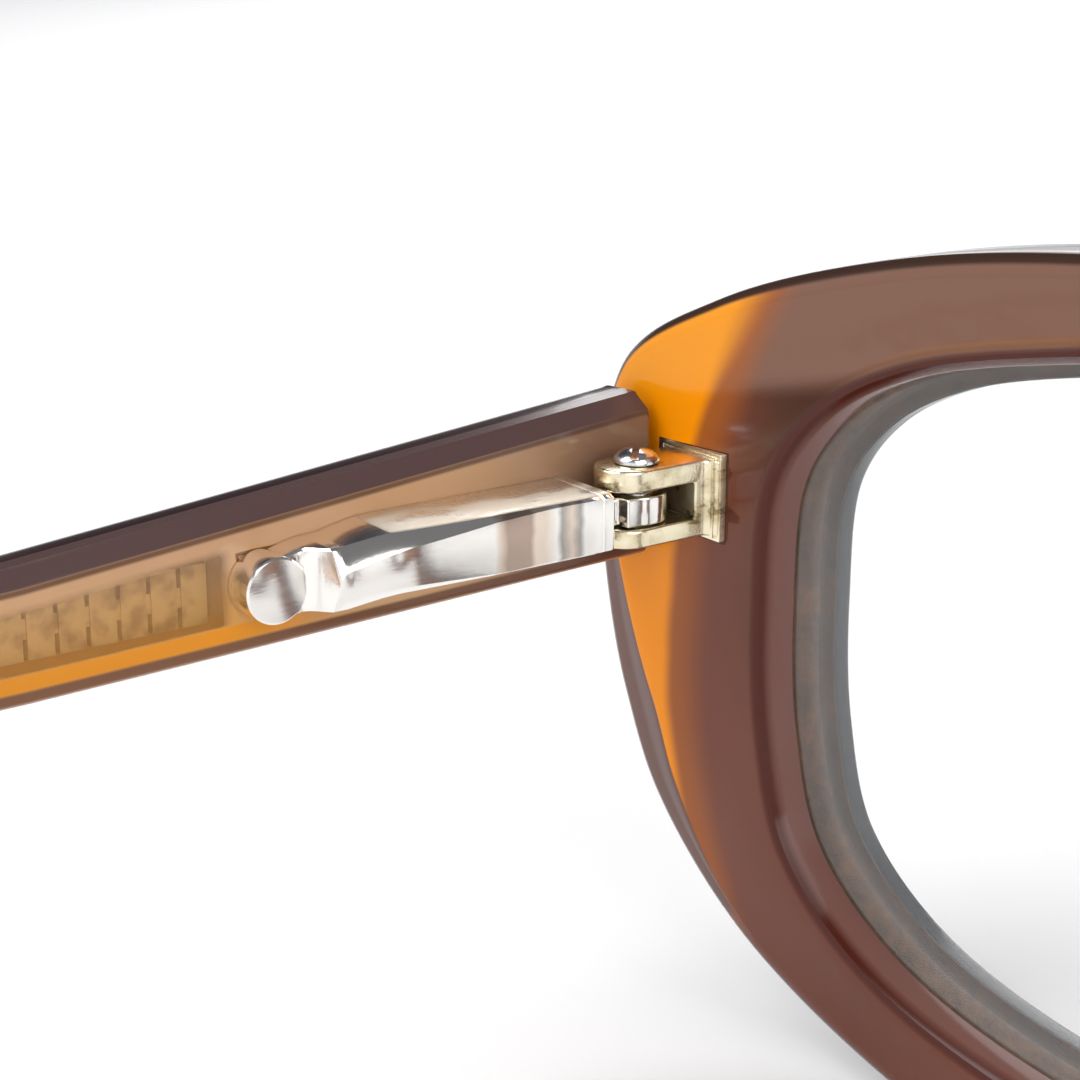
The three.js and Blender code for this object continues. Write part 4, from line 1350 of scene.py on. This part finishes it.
@dataclass
class Hinge:
    """One hinge: knuckles on a ridged plate, screw, slider and the spring of the housing."""

    side: Side
    knuckle_half: float = 1.7
    knuckle_reach: float = 2.3
    height: float = 4.1
    upper: float = 1.15
    slot: float = 1.95
    slot_end: float = 2.6
    flare: float = 0.6
    root: float = -3.5
    plate_half: float = 2.4
    plate_top: float = 0.3
    plate_bottom: float = -4.4
    screw: float = 0.6
    head: float = 1.2
    head_height: float = 0.75
    tongue_half: float = 1.4
    tongue_height: float = 1.5
    shoulder: float = 1.6
    neck_half: float = 0.65
    eye: float = 1.6
    slider_z: float = -2.225
    neck_end: float = 3.6
    rod: float = 0.55
    rod_head_start: float = 14.0
    bore: float = 1.1
    play: float = 0.05
    nose_steps: int = 24
    ridge: float = 0.12
    plate_depth: float = 1.35
    screw_slot: float = 0.4
    screw_slot_floor: float = 0.4
    screw_slot_turn: float = -0.76
    eye_steps: int = 36
    eye_hole: float = 0.95
    rod_head: float = 0.95
    spring_turns: int = 7
    spring_wire: float = 0.15

    def build(self, finishes: Finishes) -> None:
        """Builds and dresses the hinge's own pieces."""
        self._knuckles(finishes)
        self._screw(finishes)
        self._slider(finishes)
        self._spring(finishes)

    def _prism(self, plan: Sequence[tuple[float, float]], low: float, high: float,
               material: bpy.types.Material, name: str) -> bpy.types.Object:
        """Returns a plan in x and y raised from low to high."""
        return Skin().loft([[(x, y, z) for x, y in plan] for z in (low, high)]).build(name, material)

    def _knuckles(self, finishes: Finishes) -> None:
        """Builds the knuckles and their ridged plate."""
        half, root = self.knuckle_half, self.root
        centre = self.knuckle_reach - half
        turns = (0, 0.35, 0.75, 1.15, math.pi / 2)
        flare = [
            (half + self.flare * (1 - math.sin(a)), root + self.flare * (1 - math.cos(a))) for a in turns
        ]
        nose = [math.pi * i / self.nose_steps for i in range(self.nose_steps + 1)]
        plan = flare + [(half * math.cos(a), centre + half * math.sin(a)) for a in nose]
        plan += [(-x, y) for x, y in reversed(flare)]
        plan = [(plan[0][0], root - 0.5)] + plan + [(-plan[0][0], root - 0.5)]
        piece = self._prism(plan, -self.height, 0, finishes.nickel, f"hinge_knuckles_{self.side.word}")
        far = 3 * half
        slot_low = -self.upper - self.slot
        slot = box((-far, -self.slot_end, slot_low), (far, far, -self.upper), finishes.nickel)
        combine(piece, slot, "DIFFERENCE")
        soften(piece, 0.16, 3, 35)
        for half_wide, top, bottom, back, face in (
            (self.plate_half - 0.3, self.plate_top - 0.2, self.plate_bottom + 0.2, root - 0.3,
             root + self.ridge),
            (self.plate_half, self.plate_top, self.plate_bottom, root - self.plate_depth,
             root - self.ridge),
        ):
            plate = box((-half_wide, back, bottom), (half_wide, face, top), finishes.nickel)
            soften(plate, 0.07, 2, 35)
            combine(piece, plate, "UNION")
        combine(piece, self._hole(self.screw + self.play, finishes.nickel), "DIFFERENCE")
        place(piece, self.side, HINGE)
        dress(piece, "front", "nickel_silver", f"hinge_front_{self.side.word}")

    @staticmethod
    def _hole(radius: float, material: bpy.types.Material) -> bpy.types.Object:
        """Returns a bar along the screw axis, for cutting, longer than the hinge is tall."""
        return turned([(radius, -6), (radius, 2)], "Z", (0, 0, 0), 48, material)

    def _screw(self, finishes: Finishes) -> None:
        """Builds the slotted screw."""
        profile = [
            (self.screw, -self.height + self.play), (self.screw, 0.04), (self.head - 0.06, 0.04),
            (self.head, 0.1),
        ]
        profile += [(self.head * math.cos(a), 0.12 + (self.head_height - 0.1) * math.sin(a))
                    for a in [math.radians(d) for d in (8, 20, 34, 48, 62, 76, 87)]]
        name = f"hinge_screw_slotted_{self.side.word}"
        piece = turned(profile, "Z", (0, 0, 0), 64, finishes.steel, name)
        across = self.screw_slot / 2
        slot = box((-2, -across, self.screw_slot_floor), (2, across, 1.2), finishes.steel)
        slot.data.transform(Matrix.Rotation(self.screw_slot_turn, 4, "Z"))
        combine(piece, slot, "DIFFERENCE")
        soften(piece, 0.03, 2, 40)
        place(piece, self.side, HINGE)
        dress(piece, "front", "screw_steel", f"hinge_screw_{self.side.word}")

    def _slider(self, finishes: Finishes) -> None:
        """Builds the eye, its neck, the rod and the rod's head."""
        turn = math.asin(self.tongue_half / self.eye)
        sweep = 2 * (math.pi - turn)
        start = math.pi / 2 + turn
        half = [
            (self.tongue_half, self.shoulder), (self.neck_half, self.shoulder),
            (self.neck_half, self.neck_end),
        ]
        plan = half + [(-x, y) for x, y in reversed(half)]
        angles = [start + sweep * i / self.eye_steps for i in range(self.eye_steps + 1)]
        plan += [(self.eye * math.cos(a), self.eye * math.sin(a)) for a in angles]
        low = self.slider_z - self.tongue_height / 2
        name = f"slider_eye_and_rod_{self.side.word}"
        piece = self._prism(plan, low, low + self.tongue_height, finishes.chrome, name)
        soften(piece, 0.12, 3, 35)
        edge = 0.1
        head_start = self.rod_head_start
        head_end = head_start + self.rod_head
        head = self.bore - self.play
        profile = [
            (self.rod, self.neck_end - 0.5), (self.rod, head_start), (head - edge, head_start),
            (head, head_start + edge), (head, head_end - edge), (head - edge, head_end),
        ]
        combine(piece, turned(profile, "Y", (0, 0, self.slider_z), 32, finishes.chrome), "UNION")
        combine(piece, self._hole(self.eye_hole, finishes.chrome), "DIFFERENCE")
        place(piece, self.side, HINGE)
        dress(piece, f"slider_{self.side.word}", "nickel_silver", f"hinge_slider_{self.side.word}")

    def _spring(self, finishes: Finishes) -> None:
        """Builds the coil round the rod from a rule."""
        node = f"hinge_spring_{self.side.word}"
        low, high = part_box(node)
        radius = self.bore - self.play - self.spring_wire
        coil = SpringRule(self.spring_turns, radius, self.spring_wire)
        middle = (Vector(low) + Vector(high)) / 2 / MM
        piece = coil.build(f"spring_coil_{self.side.word}", (high[1] - low[1]) / MM, finishes.steel)
        piece.data.transform(Matrix.Translation((middle.x, low[1] / MM, middle.z)))
        place(piece, Side.LEFT, Vector((0, 0, 0)), crease=60)
        dress(piece, f"arm_{self.side.word}", "spring_steel", node)


class Rule(Tree):
    """A Geometry Nodes tree that makes one piece."""

    def __init__(self, name: str) -> None:
        """Starts the tree with its geometry sockets.

        Args:
            name: the tree's name.
        """
        super().__init__(bpy.data.node_groups.new(name, "GeometryNodeTree"))
        face = self.tree.interface
        face.new_socket("Geometry", in_out="INPUT", socket_type="NodeSocketGeometry")
        face.new_socket("Geometry", in_out="OUTPUT", socket_type="NodeSocketGeometry")
        self.entry = self.tree.nodes.new("NodeGroupInput")
        self.exit = self.tree.nodes.new("NodeGroupOutput")

    def size(self, name: str, kind: str = "NodeSocketFloat") -> bpy.types.NodeSocket:
        """Adds a named input and returns its socket inside the tree."""
        self.tree.interface.new_socket(name, in_out="INPUT", socket_type=kind)
        return self.entry.outputs[name]

    def run(self, piece: bpy.types.Object, result: bpy.types.NodeSocket, material: bpy.types.Material,
            sizes: dict[str, object]) -> bpy.types.Object:
        """Ends the tree, runs it on a piece and makes the result a plain mesh.

        Args:
            piece: the object it runs on.
            result: the geometry that the tree made.
            material: the finish it sets.
            sizes: a value for each named input.

        Returns:
            The piece.
        """
        real = self.node("GeometryNodeRealizeInstances", {}, {"Geometry": result})
        inputs = {"Geometry": real.outputs[0], "Material": material}
        coated = self.node("GeometryNodeSetMaterial", {}, inputs)
        self.tree.links.new(coated.outputs[0], self.exit.inputs[0])
        work = piece.modifiers.new(self.tree.name, "NODES")
        work.node_group = self.tree
        for socket in self.tree.interface.items_tree:
            if socket.in_out == "INPUT" and socket.name in sizes:
                work[socket.identifier] = sizes[socket.name]
        return settle(piece)


@dataclass
class SpringRule:
    """The rule of a coil spring."""

    turns: int
    radius: float
    wire: float
    coil_steps: int = 24
    wire_steps: int = 10

    def build(self, name: str, length: float, material: bpy.types.Material) -> bpy.types.Object:
        """Returns the coil along y from zero.

        Args:
            name: the piece's name.
            length: its length over the wire.
            material: its finish.

        Returns:
            The object, in millimetres.
        """
        rule = Rule(f"{name}_rule")
        radius, wire = rule.size("Coil Radius"), rule.size("Wire Radius")
        run, turns = rule.size("Run"), rule.size("Turns")
        spiral = rule.node("GeometryNodeCurveSpiral", {}, {
            "Resolution": self.coil_steps, "Rotations": turns, "Start Radius": radius,
            "End Radius": radius, "Height": run})
        circle = rule.node("GeometryNodeCurvePrimitiveCircle", {}, {
            "Resolution": self.wire_steps, "Radius": wire})
        tube = rule.node("GeometryNodeCurveToMesh", {}, {
            "Curve": spiral.outputs[0], "Profile Curve": circle.outputs[0], "Fill Caps": True})
        piece = link(name, [], [], [])
        sizes = {"Coil Radius": self.radius, "Wire Radius": self.wire,
                 "Run": length - 2 * self.wire, "Turns": float(self.turns)}
        rule.run(piece, tube.outputs[0], material, sizes)
        lay = Matrix.Translation((0, self.wire, 0)) @ Matrix.Rotation(-math.pi / 2, 4, "X")
        piece.data.transform(lay)
        face_out(piece.data)
        return piece


@dataclass
class Housing:
    """Polished housing of the spring: lip, raised pad, facets, ramp and a flat round end."""

    side: Side
    start: float = 2.65
    length: float = 19.8
    top: float = -0.8
    bottom: float = -3.9
    proud: float = 1.9
    foot: float = 2.45
    disc: float = 1.65
    disc_face: float = 0.6
    sag: float = 0.85
    pad: tuple[float, float] = (-3.72, -0.98)
    pad_end: float = 18.5
    pad_round: float = 0.75
    facet_top: float = -1.72
    facet_foot: float = -1.5
    lip: tuple = ((0, 0.3), (0.06, 0.14), (0.2, 0.03), (0.4, 0), (0.78, 0), (0.84, 0.06),
                  (0.92, 0.06), (0.98, 0))
    lug_setback: float = 3.4
    lug_end_margin: float = 0.9
    lug_face: float = 3.75
    lug_bottom: float = -3.55
    lug_top: float = -2.0
    mouth: tuple[float, float] = (2.9, 1.61)
    mouth_end: float = 3.65
    rod_z: float = -2.225
    bore: float = 1.1
    bore_end: float = 16.4

    def section(self, y: float, face: float, pad: tuple[float, float], ridge: float, foot: float,
                fall: float = 0.0, inset: float = 0.0) -> Ring:
        """Returns the housing's section at a distance from the screw axis.

        Args:
            y: the distance.
            face: x of the raised pad.
            pad: lower and upper edge of the pad.
            ridge: x of the top of the upper facet.
            foot: x of the foot of the lower facet.
            fall: how much lower the top and bottom lie than at the mouth.
            inset: how much smaller the whole section is.

        Returns:
            Its corners.
        """
        top, bottom = self.top - inset - fall, self.bottom + inset - fall
        low, high = pad
        return [
            (self.foot, y, bottom), (foot + inset, y, bottom), (foot - 0.1 + inset, y, bottom + 0.06),
            (face + inset, y, low + inset), (face + inset, y, high - inset),
            (ridge + inset, y, top - 0.1), (ridge + 0.16 + inset, y, top), (self.foot, y, top),
        ]

    def sections(self) -> list[Ring]:
        """Returns the sections from the mouth to the round end."""
        rows = []
        low, high = self.pad
        ridge, foot = self.facet_top, self.facet_foot
        for dy, inset in self.lip:
            y = self.start + dy
            rows.append(self.section(y, -self.proud, (low, high), ridge, foot, 0, inset))
        for y in (4.2, 5, 5.8, 6.6, 7.4, 8.2, 9.0, 9.5):
            swell = 0.16 * math.sin(math.pi * blend_step(y, 3.4, 9.5))
            share = blend_step(y, 3.6, 19)
            pad = (low + 0.1 * share, high - 0.25 * share)
            face = swell - self.proud
            rows.append(self.section(y, face, pad, ridge + 0.5 * share, foot + 0.2 * share))
        tip = self.pad_end - self.pad_round
        for i in range(10):
            y = 10 + (tip - 10) * i / 9
            share = (y - 9.5) / (tip - 9.5)
            sink = 0.65 * blend_step(y, 14.8, 19.3)
            pad = (-3.7 + 0.42 * share - sink, -1.03 - 0.75 * share ** 0.9 - sink)
            face = -self.proud + 0.1 * share + 0.7 * blend_step(y, 14.5, 19.5)
            ridge, foot = face + 0.28 + 0.5 * share, face + 0.44 + 0.3 * share
            rows.append(self.section(y, face, pad, ridge, foot, sink))
        low, high = pad
        middle, half = (low + high) / 2, (high - low) / 2
        for i in range(1, 8):
            turn = math.pi / 2 * i / 7
            tall = half * math.cos(turn) * 0.97 + 0.02
            y = tip + self.pad_round * math.sin(turn)
            spread = (middle - tall, middle + tall)
            rows.append(self.section(y, face + 0.1 * i / 7, spread, face + 0.8, face + 0.76, sink))
        last = self.start + self.length - self.disc
        for i in range(1, 11):
            share = i / 10
            y = self.pad_end + (last - self.pad_end) * share
            slope = blend_step(share, -0.25, 0.45)
            near = face + 0.1 + (self.disc_face + 0.15 - face - 0.1) * slope
            fall = sink + 0.02 + (self.sag - sink - 0.02) * blend_step(share, 0, 1)
            spread = (middle - 1.1 * slope - 0.02, middle + 0.9 * slope + 0.02)
            ridge, foot = (max(near, face + reach) + 0.05 for reach in (0.8, 0.76))
            rows.append(self.section(y, near, spread, ridge, foot, fall))
        return rows

    def build(self, finishes: Finishes) -> None:
        """Builds and dresses the housing."""
        name = f"housing_polished_{self.side.word}"
        piece = Skin().loft(self.sections()).build(name, finishes.chrome)
        end = self.start + self.length
        middle = (self.top + self.bottom) / 2 - self.sag
        edge = 0.1
        profile = [
            (self.disc - edge, self.disc_face), (self.disc, self.disc_face + edge),
            (self.disc, self.foot),
        ]
        disc = turned(profile, "X", (0, end - self.disc, middle), 72, finishes.chrome)
        combine(piece, disc, "UNION")
        low = (self.foot - 0.3, self.start + self.lug_setback, self.lug_bottom)
        high = (self.lug_face, end - self.lug_end_margin, self.lug_top)
        combine(piece, box(low, high, finishes.chrome), "UNION")
        soften(piece, 0.05, 2, 24)
        wide, tall = self.mouth[0] / 2, self.mouth[1] / 2
        low = (-wide, 0, self.rod_z - tall)
        high = (wide, self.mouth_end, self.rod_z + tall)
        combine(piece, box(low, high, finishes.chrome), "DIFFERENCE")
        ends = [(self.bore, self.start - 0.05), (self.bore, self.bore_end)]
        bore = turned(ends, "Y", (0, 0, self.rod_z), 32, finishes.chrome)
        combine(piece, bore, "DIFFERENCE")
        place(piece, self.side, HINGE, crease=20)
        dress(piece, f"arm_{self.side.word}", "polished_chrome", f"spring_housing_{self.side.word}")


# ---------------------------------------------------------------- temple


@dataclass
class Temple:
    """A temple: dark outer layer, translucent inner layer and the stamped core wire between them."""

    side: Side
    offset: float = 2.5
    thickness: float = 3.5
    inner_share: float = 0.5
    length: float = 145
    start: float = -2.8
    mitre: float = 0.8
    line: float = 4.2
    bend_start: float = 88
    bend_radius: float = 45
    tip_half: float = 3.1
    tip_round: float = 6
    seam_gap: float = 0.01
    pocket: tuple[Point, Point] = ((0, 5.95, -3.65), (3.85, 21.65, -1.9))
    rest_flat: float = 0.3
    top_edge: tuple = ((0, 7.0), (36, 3.7), (60, 2.85), (88, 2.6), (120, 3.1))
    bottom_edge: tuple = ((0, 1.85), (36, 2.75), (60, 2.75), (88, 2.6), (120, 3.1))
    wide_step: float = 1.5
    tip_steps: int = 12
    tip_turn: float = 1.5
    tip_slim: float = 0.45

    def path(self, distance: float, angle: float) -> tuple[float, float, float]:
        """Returns how far along, how far down and how far turned the centre line is.

        Args:
            distance: from the temple's front end, along the line.
            angle: the whole angle of the ear bend.

        Returns:
            Distance along y, fall and turn.
        """
        bend = min(max((distance - self.bend_start) / self.bend_radius, 0), angle)
        tail = max(distance - self.bend_start - self.bend_radius * angle, 0)
        level = min(distance, self.bend_start)
        along = level + self.bend_radius * math.sin(bend) + tail * math.cos(angle)
        return along, self.bend_radius * (1 - math.cos(bend)) + tail * math.sin(angle), bend

    def ear_angle(self) -> float:
        """Returns the bend that brings the tip down to the ground."""
        drop = HINGE.z - self.line + self.rest_flat
        low, high = 0.0, math.pi / 2
        for _ in range(40):
            angle = (low + high) / 2
            reach = math.hypot(self.tip_round * math.sin(angle), self.tip_half * math.cos(angle))
            deep = self.path(self.length - self.tip_round, angle)[1] + reach > drop
            low, high = (low, angle) if deep else (angle, high)
        return low

    @staticmethod
    def edge(stations: Sequence[tuple[float, float]], distance: float) -> float:
        """Returns an edge's height by straight lines between stations."""
        for (x0, h0), (x1, h1) in zip(stations, stations[1:]):
            if distance <= x1:
                return h0 + (h1 - h0) * (distance - x0) / (x1 - x0)
        return stations[-1][1]

    def on_path(self, spots: Iterable[tuple[float, float]], distance: float, angle: float) -> Ring:
        """Places a section on the centre line.

        Args:
            spots: across and up of each corner.
            distance: from the temple's front end.
            angle: the whole angle of the ear bend.

        Returns:
            The section's corners from the hinge.
        """
        along, fall, bend = self.path(distance, angle)
        return [
            (x, self.start + along + up * math.sin(bend), -self.line - fall + up * math.cos(bend))
            for x, up in spots
        ]

    def stations(self) -> list[tuple[float, float]]:
        """Returns distances along the temple with the share of its section that is left there."""
        rows = [(0.0, 0.95), (0.08, 0.985), (0.25, 1.0)]
        step = self.wide_step
        rows += [(1 + step * i, 1.0) for i in range(int((self.length - self.tip_round - 1) / step))]
        for i in range(1, self.tip_steps + 1):
            turn = i / self.tip_steps * self.tip_turn
            rows.append((self.length - self.tip_round * (1 - math.sin(turn)), math.cos(turn)))
        return rows

    def layer(
        self, name: str, low: float, high: float, outer: bool, material: bpy.types.Material,
    ) -> bpy.types.Object:
        """Builds one layer of the laminate.

        Args:
            name: the piece's name.
            low: its inner face.
            high: its outer face.
            outer: whether this is the outer layer.
            material: its finish.

        Returns:
            The layer, in millimetres from the hinge.
        """
        angle = self.ear_angle()
        rings, marks = [], []
        middle = self.offset + self.thickness / 2
        for distance, share in self.stations():
            top = self.edge(self.top_edge, distance) * share
            bottom = -self.edge(self.bottom_edge, distance) * share
            shape = self.section(low, high, bottom, top, outer, share)
            slim = 1 - self.tip_slim * (1 - share)
            shape = [(middle + (x - middle) * slim, up) for x, up in shape]
            ring = self.on_path(shape, distance, angle)
            if distance < 1:
                lean = self.mitre / self.thickness * (1 - distance)
                ring = [(x, y + (x - self.offset) * lean, z) for x, y, z in ring]
            rings.append(ring)
            marks += [(up - bottom, top - up) for _, up in shape]
        piece = Skin().loft(rings).build_open(name, material)
        store(piece, "up", [up for up, _ in marks])
        store(piece, "drop", [drop for _, drop in marks])
        for vertex in piece.data.vertices:
            vertex.co.y = min(vertex.co.y, FAR_HIGH.y - HINGE.y)
            vertex.co.z = max(vertex.co.z, -HINGE.z)
        face_out(piece.data, merge=0)
        return piece

    @staticmethod
    def section(
        low: float, high: float, bottom: float, top: float, outer: bool, share: float,
    ) -> Outline:
        """Returns the corners of a layer's section, bevelled or rounded on its free side.

        Args:
            low: inner face.
            high: outer face.
            bottom: lower edge.
            top: upper edge.
            outer: whether its free side is the outer one.
            share: how much of the full section is left.

        Returns:
            Across and up of each corner.
        """
        small = min(1.0, share + 0.1)
        upper, lower = (0.95 * small, 0.7 * small) if outer else (0.85 * small, 0.45 * small)
        seam, free, way = (low, high, -1) if outer else (high, low, 1)
        turns = [math.radians(d) for d in (0, 15, 30, 45, 60, 75, 90)]
        spots = [(seam, bottom)]
        for a in turns:
            spots.append((free + way * lower * (1 - math.sin(a)), bottom + lower * (1 - math.cos(a))))
        if outer:
            for a in turns:
                spots.append((free - upper * (1 - math.cos(a)), top - upper * (1 - math.sin(a))))
        else:
            shoulder = top - upper
            spots += [(free, bottom + (shoulder - bottom) * k / 6) for k in range(1, 7)]
            spots += [(free + 0.05, shoulder + 0.1), (free + upper - 0.05, top - 0.1), (free + upper, top)]
        return spots + [(seam, top)]

    def build(self, finishes: Finishes) -> None:
        """Builds and dresses the temple and its core wire."""
        word = self.side.word
        seam = self.offset + self.thickness * self.inner_share
        far = self.offset + self.thickness
        gap = self.seam_gap
        outer = self.layer(f"temple_skin_{word}", seam + gap, far, True, finishes.skin)
        inner = self.layer(f"temple_inner_{word}", self.offset, seam - gap, False, finishes.inner)
        combine(inner, box(*self.pocket, finishes.inner), "DIFFERENCE")
        wire = WireRule(self).build(f"core_stamped_{word}", finishes.wire)
        for piece, slot in ((outer, "temple_acetate"), (inner, "temple_acetate"), (wire, "core_brass")):
            place(piece, self.side, HINGE, crease=26)
            nodes = {outer: f"temple_{word}", wire: f"core_wire_{word}"}
            dress(piece, f"arm_{word}", slot, *([nodes[piece]] if piece in nodes else []))


@dataclass
class WireRule:
    """The rule of the stamped core wire: one cell after another along the temple."""

    temple: Temple
    first: float = 26.4
    margin: float = 9.0
    pitch: float = 1.55
    cell: Point = (1.0, 1.34, 3.0)
    web: tuple[float, float] = (0.8, 1.0)
    rise: float = 0.5

    def build(self, name: str, material: bpy.types.Material) -> bpy.types.Object:
        """Returns the wire, in millimetres from the hinge.

        Args:
            name: the piece's name.
            material: its finish.

        Returns:
            The object.
        """
        angle = self.temple.ear_angle()
        middle = self.temple.offset + self.temple.thickness / 2
        end = self.temple.length - self.margin
        count = int(end - self.first)
        spots = [(middle, self.rise)]
        spine = [self.temple.on_path(spots, self.first + i, angle)[0] for i in range(count)]
        piece = link(name, spine, [(i, i + 1) for i in range(count - 1)], [])
        rule = Rule(f"{name}_rule")
        pitch = rule.size("Pitch")
        cell_size = rule.size("Cell", "NodeSocketVector")
        web_thick, web_tall = rule.size("Web Thickness"), rule.size("Web Height")
        line = rule.node("GeometryNodeMeshToCurve", {}, {"Mesh": rule.entry.outputs[0]})
        spots = rule.node("GeometryNodeCurveToPoints", {"mode": "LENGTH"}, {
            "Curve": line.outputs[0], "Length": pitch})
        cube = rule.node("GeometryNodeMeshCube", {}, {"Size": cell_size})
        cells = rule.node("GeometryNodeInstanceOnPoints", {}, {
            "Points": spots.outputs["Points"], "Instance": cube.outputs[0],
            "Rotation": spots.outputs["Rotation"]})
        strip = rule.node("GeometryNodeCurvePrimitiveQuadrilateral", {}, {0: web_thick, 1: web_tall})
        web = rule.node("GeometryNodeCurveToMesh", {}, {
            "Curve": line.outputs[0], "Profile Curve": strip.outputs[0], "Fill Caps": True})
        both = rule.node("GeometryNodeJoinGeometry", {}, {})
        rule.tree.links.new(cells.outputs[0], both.inputs[0])
        rule.tree.links.new(web.outputs[0], both.inputs[0])
        sizes = {"Pitch": self.pitch, "Cell": (self.cell[0], self.cell[2], self.cell[1]),
                 "Web Thickness": self.web[0], "Web Height": self.web[1]}
        rule.run(piece, both.outputs[0], material, sizes)
        face_out(piece.data)
        return piece


# ---------------------------------------------------------------- studio


@dataclass
class Studio:
    """Floor, lights, surroundings and the camera."""

    camera_offset: Point = (-93.74, 73.44, 31.74)
    azimuth: float = 54.3
    elevation: float = 16.8
    lens: float = 80
    floor_size: float = 6.0
    surroundings: float = 1.0
    wall_stops: tuple = ((0.34, 1.0), (0.6, 0.18))
    card_stops: tuple = ((0.12, 1.0), (0.24, 0.05))
    card_aim: Point = (0.81, -0.58, 0)
    card_edge: tuple[float, float] = (0.25, 0.6)

    def build(self) -> None:
        """Builds the studio."""
        self._floor()
        self._surroundings()
        self._camera()
        self._light("key", (0.25, 0.55, 0.75), 0.6, 6.0)
        self._light("fill", (-0.7, 0.1, 0.5), 0.8, 4.2)
        self._light("rim", (0.5, -0.7, 0.5), 0.7, 4.8)

    def _floor(self) -> None:
        """Adds the pale floor."""
        half = self.floor_size / 2
        corners = [(-half, -half, 0), (half, -half, 0), (half, half, 0), (-half, half, 0)]
        floor = link("floor", corners, [], [(0, 1, 2, 3)])
        shader = Shader("floor_paper")
        floor.data.materials.append(shader.done(Base_Color=(0.93, 0.93, 0.93, 1), Roughness=0.9))

    def _surroundings(self) -> None:
        """Gives the surroundings bright walls and a dimmer ceiling."""
        world = bpy.data.worlds.new("studio")
        bpy.context.scene.world = world
        world.use_nodes = True
        tree = Tree(world.node_tree)
        spot = tree.node("ShaderNodeTexCoord", {}, []).outputs["Object"]
        height = tree.node("ShaderNodeSeparateXYZ", {}, [spot]).outputs[2]
        walls, card = (self._greys(tree, height, stops) for stops in (self.wall_stops, self.card_stops))
        aim = tree.node("ShaderNodeVectorMath", {"operation": "DOT_PRODUCT"}, [spot, self.card_aim])
        share = Value(tree, aim.outputs["Value"]).step(*self.card_edge)
        back = world.node_tree.nodes["Background"]
        tree.plug(back.inputs[0], tree.mix(walls, card, share))
        tree.plug(back.inputs[1], self.surroundings)

    @staticmethod
    def _greys(tree: Tree, height: bpy.types.NodeSocket, stops: tuple) -> bpy.types.NodeSocket:
        """Returns a slightly blue grey that changes with height.

        Args:
            tree: the surroundings' tree.
            height: z of the direction.
            stops: height and brightness of each stop.

        Returns:
            The colour's socket.
        """
        placed = [(place, (grey, grey, grey * 1.04, 1)) for place, grey in stops]
        return tree.node("ShaderNodeValToRGB", {"stops": placed}, [height]).outputs[0]

    def _camera(self) -> None:
        """Adds the camera between the temples, looking out at the left hinge."""
        data = bpy.data.cameras.new("camera")
        data.lens = self.lens
        data.clip_start = 0.001
        camera = bpy.data.objects.new("camera", data)
        bpy.context.collection.objects.link(camera)
        camera.location = (HINGE + Vector(self.camera_offset)) * MM
        turn, tip = math.radians(self.azimuth), math.radians(self.elevation)
        look = Vector((math.sin(turn) * math.cos(tip), -math.cos(turn) * math.cos(tip), -math.sin(tip)))
        camera.rotation_euler = look.to_track_quat("-Z", "Y").to_euler()
        bpy.context.scene.camera = camera

    def _light(self, name: str, spot: Point, size: float, power: float) -> None:
        """Adds a soft light aimed at the part.

        Args:
            name: its name.
            spot: where it hangs, in metres.
            size: side of its panel in metres.
            power: in watts.
        """
        data = bpy.data.lights.new(name, "AREA")
        data.size = size
        data.energy = power
        light = bpy.data.objects.new(name, data)
        bpy.context.collection.objects.link(light)
        light.location = spot
        light.rotation_euler = (-Vector(spot)).to_track_quat("-Z", "Y").to_euler()


def paint_kept_nodes(finishes: Finishes) -> None:
    """Gives the CAD nodes that stay their finishes."""
    for side in Side:
        kept = {f"pivot_bush_{side.word}": finishes.nylon, f"spring_stop_{side.word}": finishes.steel}
        for node, material in kept.items():
            slots = frame["nodes"][node].data.materials
            slots.clear()
            slots.append(material)
            LOG.info("%s keeps its shape", node)


def main() -> None:
    """Builds the studio and every sub-assembly in order."""
    logging.basicConfig(level=logging.INFO)
    Studio().build()
    finishes = Finishes()
    shape = FrontShape()
    Front(shape).build(finishes)
    for side in Side:
        Lens(shape, side).build(finishes)
        NosePad(shape, side).build(finishes)
        Hinge(side).build(finishes)
        Housing(side).build(finishes)
        Temple(side).build(finishes)
    paint_kept_nodes(finishes)
    scene = bpy.context.scene
    scene.view_settings.view_transform = "Standard"


if __name__ == "__main__":
    main()
